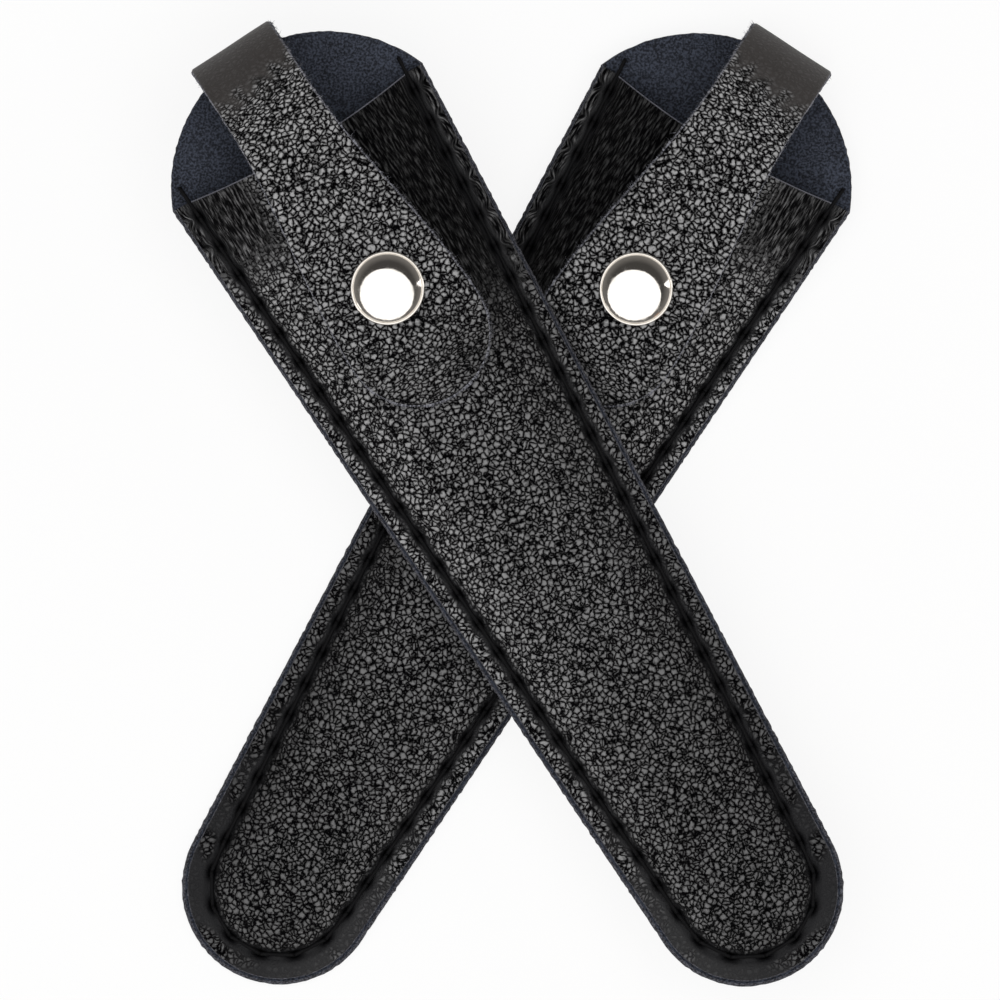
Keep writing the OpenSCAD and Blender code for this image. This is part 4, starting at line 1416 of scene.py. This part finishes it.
@dataclass
class Fittings:
    """The snap and the rivet of one sheath, turned from their sections."""

    sizes: SheathSizes
    spring_r: float = 2.6
    wire_r: float = 0.25
    neck_h: float = 1.05

    def lifted(self, form: Form, z: float, at: tuple[float, float] | None = None) -> Form:
        """A turned form moved up to a height, over the snap or another spot."""
        x, y = at if at is not None else (0.0, -self.sizes.snap_at)
        form.points = form.points + np.array([x, y, z])
        return form

    def cap(self) -> Form:
        """The domed cap: a crown that falls as the radius squared, a crease, a rolled rim and a flared post."""
        z = self.sizes
        r, top = z.cap_d / 2, z.cap_h
        crown = domed(r - 0.42, top * 0.26, top, 34)
        shoulder = rounded([
            (r - 0.38, top * 0.21, 0.06), (r - 0.28, top * 0.27, 0.1), (r, top * 0.22, 0.25), (r, 0.0, 0.12),
            (1.35, 0.0, 0), (1.35, -1.7, 0), (1.7, -1.7, 0), (1.7, -1.9, 0), (0.0, -1.9, 0),
        ], 6)
        shoulder = [p for p in shoulder if p[0] > 0 or p[1] < 0]
        return self.lifted(turned(crown + shoulder, 128), z.pad_top + z.snap_gap + z.strap_t)

    def socket(self) -> Form:
        """The socket under the strap: a flange and a skirt with a groove for the ring."""
        z = self.sizes
        ring = [
            (1.4, 0.0, 0), (5.0, 0.0, 0.15), (5.0, -0.5, 0.15), (3.6, -0.5, 0.1), (3.6, -2.7, 0.15), (2.4, -2.7, 0.1),
            (2.4, -2.55, 0), (3.0, -2.5, 0), (3.0, -1.95, 0), (2.4, -1.9, 0), (2.4, -0.5, 0), (1.4, -0.5, 0),
        ]
        return self.lifted(turned(rounded(ring, 4)), z.pad_top + z.snap_gap)

    def stud(self) -> Form:
        """The stud on the front panel: a flange, a neck and a round head."""
        z = self.sizes
        ring = [
            (1.3, 0.0, 0), (5.0, 0.0, 0.12), (5.0, 0.42, 0.2), (2.2, 0.5, 0.3), (1.9, 0.8, 0.2), (1.9, 1.25, 0.1),
            (2.2, 1.4, 0.35), (2.2, 2.1, 0.4), (1.3, 2.2, 0),
        ]
        return self.lifted(turned(rounded(ring, 5)), z.pad_top)

    def eyelet(self) -> Form:
        """The eyelet inside the pocket, with its tube flared over the stud."""
        z = self.sizes
        ring = [
            (0.8, -0.5, 0.1), (4.5, -0.5, 0.25), (4.5, 0.0, 0), (1.25, 0.0, 0), (1.25, 3.6, 0), (1.7, 3.6, 0.05),
            (1.7, 3.75, 0.05), (0.8, 3.75, 0.1),
        ]
        return self.lifted(turned(rounded(ring, 4)), z.pad_top - z.panel_t)

    def spring(self) -> Form:
        """The split ring: a round wire along 300 degrees of a circle."""
        z = self.sizes
        a = np.radians(np.linspace(30, 330, 80))[:, None]
        phi = (np.arange(12) * 2 * math.pi / 12)[None]
        r = self.spring_r + self.wire_r * np.cos(phi)
        rings = np.stack([r * np.cos(a), r * np.sin(a), self.wire_r * np.sin(phi) + 0 * a], -1)
        return self.lifted(many_tubes(rings[None]), z.pad_top + self.neck_h)

    @property
    def rivet_spot(self) -> tuple[float, float]:
        """The rivet's place, on the leaning strap's middle line."""
        z = self.sizes
        a, up = math.radians(z.lean), z.snap_at - z.rivet_at
        return -up * math.sin(a), up * math.cos(a) - z.snap_at

    def rivet_cap(self) -> Form:
        """The rivet's head under the strap, with its tube."""
        z = self.sizes
        crown = [(r, -h) for r, h in domed(z.rivet_head_d / 2 - 0.1, 0.35, z.rivet_head_h, 14)]
        rest = [(z.rivet_head_d / 2, -0.3), (z.rivet_head_d / 2, -0.05), (z.rivet_head_d / 2 - 0.1, 0.0)]
        tube = [(1.5, 0.0), (1.5, 2.55), (1.05, 2.55), (1.05, -0.3), (0.0, -0.3)]
        return self.lifted(turned(crown + rest + tube, 64), z.rivet_head_h, self.rivet_spot)

    def rivet_post(self) -> Form:
        """The rivet's head on the suede side of the tongue, with its post."""
        z = self.sizes
        crown = domed(z.rivet_head_d / 2 - 0.1, 0.35, z.rivet_head_h, 14)
        rest = [(z.rivet_head_d / 2, 0.3), (z.rivet_head_d / 2, 0.05), (z.rivet_head_d / 2 - 0.1, 0.0)]
        post = [(1.0, 0.0), (1.0, -1.9), (0.0, -1.9)]
        return self.lifted(turned(crown + rest + post, 64), z.lift_h + z.panel_t, self.rivet_spot)


# --- A whole sheath -------------------------------------------------------------------------------


@dataclass
class Sheath:
    """One sheath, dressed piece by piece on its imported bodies."""

    berth: Berth
    finishes: Finishes

    def put(self, piece: str, form: Form, body: str, replaces: Sequence[str],
            materials: Sequence[bpy.types.Material], bends: bool = False) -> bpy.types.Object:
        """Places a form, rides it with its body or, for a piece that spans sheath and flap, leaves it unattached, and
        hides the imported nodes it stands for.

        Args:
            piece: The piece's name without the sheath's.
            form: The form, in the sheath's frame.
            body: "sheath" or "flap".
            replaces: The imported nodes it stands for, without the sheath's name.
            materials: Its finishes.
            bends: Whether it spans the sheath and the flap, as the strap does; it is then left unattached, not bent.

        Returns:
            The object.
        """
        name = self.berth.node(piece)
        made = make_object(name, form, self.berth.place(form.points), materials)
        if bends:
            start, end = self.fold_ends()
            self.berth.node("sheath")
            self.berth.node("flap")
            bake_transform(made)
        else:
            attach(made, self.berth.node(body))
        if replaces:
            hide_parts(*(self.berth.node(n) for n in replaces))
        log.info("%s: %d faces, on %s", name, len(made.data.polygons), "the fold" if bends else body)
        return made

    def fold_ends(self) -> tuple[tuple[float, ...], tuple[float, ...]]:
        """Two points in the row frame where the strap would start and stop following the flap.

        Both lie on a line that goes almost straight up: one just above the strap's end behind the tongue and one just
        below the fold's crest.
        """
        z = self.berth.sizes
        up = np.array([0.0, -0.2, 0.98])
        up /= np.linalg.norm(up)
        anchor_end = np.array([0.0, -z.anchor_end, z.anchor_z])
        crest = np.array([0.0, -z.flap_top, z.fold_h])
        low, high = up @ anchor_end + z.strap_t / 2, up @ crest - z.strap_t / 2
        ends = self.berth.place(z.leaned(np.stack([low * up, high * up])))
        return tuple(float(v) for v in ends[0]), tuple(float(v) for v in ends[1])

    def dress(self) -> None:
        """Builds and dresses every piece of the sheath."""
        z, f = self.berth.sizes, self.finishes
        seed = 51 if self.berth.layer is Layer.UPPER else 52
        metal = Fittings(z)
        leather = [f.panel_suede, f.panel_grain, f.panel_edge]
        self.put("back_leather", BackPanel(z).form(), "sheath", ["back_panel"], leather)
        front = [f.panel_grain, f.panel_suede, f.panel_edge]
        self.put("front_leather", FrontPanel(z).form(), "sheath", ["front_panel"], front)
        sewing = Stitching(z)
        self.put("front_stitches", sewing.front(), "sheath", ["needle_thread"], [f.thread])
        self.put("back_stitches", sewing.back(), "sheath", ["bobbin_thread"], [f.thread])
        strap = Strap(z)
        whole = ["strap_anchor", "strap_fold", "strap_flap"]
        leather = [f.strap_grain, f.strap_suede, f.strap_edge]
        self.put("strap_leather", strap.form(), "flap", whole, leather, bends=True)
        self.put("strap_fibres", strap.fibres(1100, seed), "flap", [], [f.strap_edge], bends=True)
        for piece, form, body, slot, finish in (
            ("cap", metal.cap(), "flap", "polished_snap", f.bright),
            ("socket", metal.socket(), "flap", "polished_snap", f.satin),
            ("spring", metal.spring(), "flap", "spring_steel", f.steel),
            ("stud", metal.stud(), "sheath", "polished_snap", f.satin),
            ("eyelet", metal.eyelet(), "sheath", "polished_snap", f.satin),
        ):
            self.put(f"turned_{piece}", form, body, [f"snap_{piece}"], [finish])
        self.put("turned_rivet_cap", metal.rivet_cap(), "sheath", ["rivet_cap"], [f.satin])
        self.put("turned_rivet_post", metal.rivet_post(), "sheath", ["rivet_post"], [f.satin])


# --- Studio ---------------------------------------------------------------------------------------


@dataclass(frozen=True)
class SoftLamp:
    """An oval soft light that points at the sheaths."""

    name: str
    place: tuple[float, float, float]
    size: tuple[float, float]
    brightness: float
    colour: str = "#ffffff"

    def hang(self) -> None:
        """Hangs the lamp. Its power is its brightness times pi times the oval's area, pi/4 times width and depth."""
        lamp = bpy.data.lights.new(self.name, "AREA")
        lamp.shape = "ELLIPSE"
        lamp.size, lamp.size_y = self.size
        lamp.energy = self.brightness * math.pi * self.size[0] * self.size[1] * math.pi / 4
        lamp.color = linear(self.colour)[:3]
        made = bpy.data.objects.new(self.name, lamp)
        made.location = self.place
        aim = -made.location
        made.rotation_mode = "QUATERNION"
        made.rotation_quaternion = aim.to_track_quat("-Z", "Y")
        made.visible_camera = False
        bpy.context.scene.collection.objects.link(made)


@dataclass(frozen=True)
class Studio:
    """A white table under one large soft light, with a camera far above it."""

    frame_w: float = 0.1633
    distance: float = 3.2
    centre: tuple[float, float] = (-0.00196, 0.00065)
    wall_low: float = 0.85
    wall_high: float = 0.07
    table_half: float = 2.0
    table_drop: float = 0.00004
    table_glow: float = 0.86

    def camera(self) -> None:
        """Hangs the camera straight above, with a lens that fits the frame's width at the table."""
        lens = bpy.data.cameras.new("camera")
        lens.lens = lens.sensor_width * self.distance / self.frame_w
        lens.clip_start, lens.clip_end = 0.1, 20
        made = bpy.data.objects.new("camera", lens)
        made.location = (*self.centre, self.distance)
        bpy.context.scene.collection.objects.link(made)
        bpy.context.scene.camera = made

    def lights(self) -> None:
        """Hangs the lamps, and lights the walls from pale at the floor to dark near the softbox."""
        lamps = (
            SoftLamp("overhead_softbox", (-0.03, -0.12, 0.85), (1.80, 1.66), 1.6),
            SoftLamp("right_strip", (1.3, 0.25, 0.42), (0.35, 1.1), 2.2),
            SoftLamp("left_strip", (-1.2, -0.7, 0.38), (0.35, 0.9), 2.0),
            SoftLamp("warm_card", (0.75, -0.85, 0.62), (0.42, 0.3), 0.5, "#d08a52"),
        )
        for lamp in lamps:
            lamp.hang()
        world = bpy.data.worlds.new("studio")
        bpy.context.scene.world = world
        world.use_nodes = True
        world.node_tree.nodes.clear()
        add = partial(add_node, world.node_tree)
        up = add("SeparateXYZ", add("TexCoord", out="Generated"), out="Z")
        wall = add("MapRange", up, 0.05, 0.68, self.wall_low, self.wall_high)
        add("OutputWorld", add("Background", linear("#fbf7f3"), wall))

    def table(self) -> None:
        """Lays a white table, which the camera sees nearly white and which keeps a soft shadow."""
        half, drop = self.table_half, self.table_drop
        points = np.array([[-half, -half, 0], [half, -half, 0], [half, half, 0], [-half, half, 0]], float)
        made, add = fresh_material("white_table")
        seen = add("LightPath", out="Is Camera Ray")
        share = add("Math", seen, self.table_glow, operation="MULTIPLY")
        matt, glow = add("BsdfDiffuse", linear("#f4f4f4")), add("Emission", linear("#ffffff"), 1.0)
        add("OutputMaterial", add("MixShader", share, matt, glow))
        form = Form(points=points, quads=np.array([[0, 1, 2, 3]]))
        floor = make_object("white_table", form, points + [0, 0, -drop], [made])

    def set_up(self) -> None:
        """Sets up the table, lights and colour management."""
        self.table()
        self.lights()
        bpy.context.scene.view_settings.view_transform = "Standard"


def main() -> None:
    """Builds the studio and both sheaths."""
    logging.basicConfig(level=logging.INFO, format="%(name)s %(message)s")
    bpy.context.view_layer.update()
    studio = Studio()
    studio.camera()
    studio.set_up()
    finishes = Finishes.mixed_up()
    for layer in Layer:
        Sheath(Berth(layer, SheathSizes()), finishes).dress()
    bpy.context.view_layer.update()


if __name__ == "__main__":
    main()
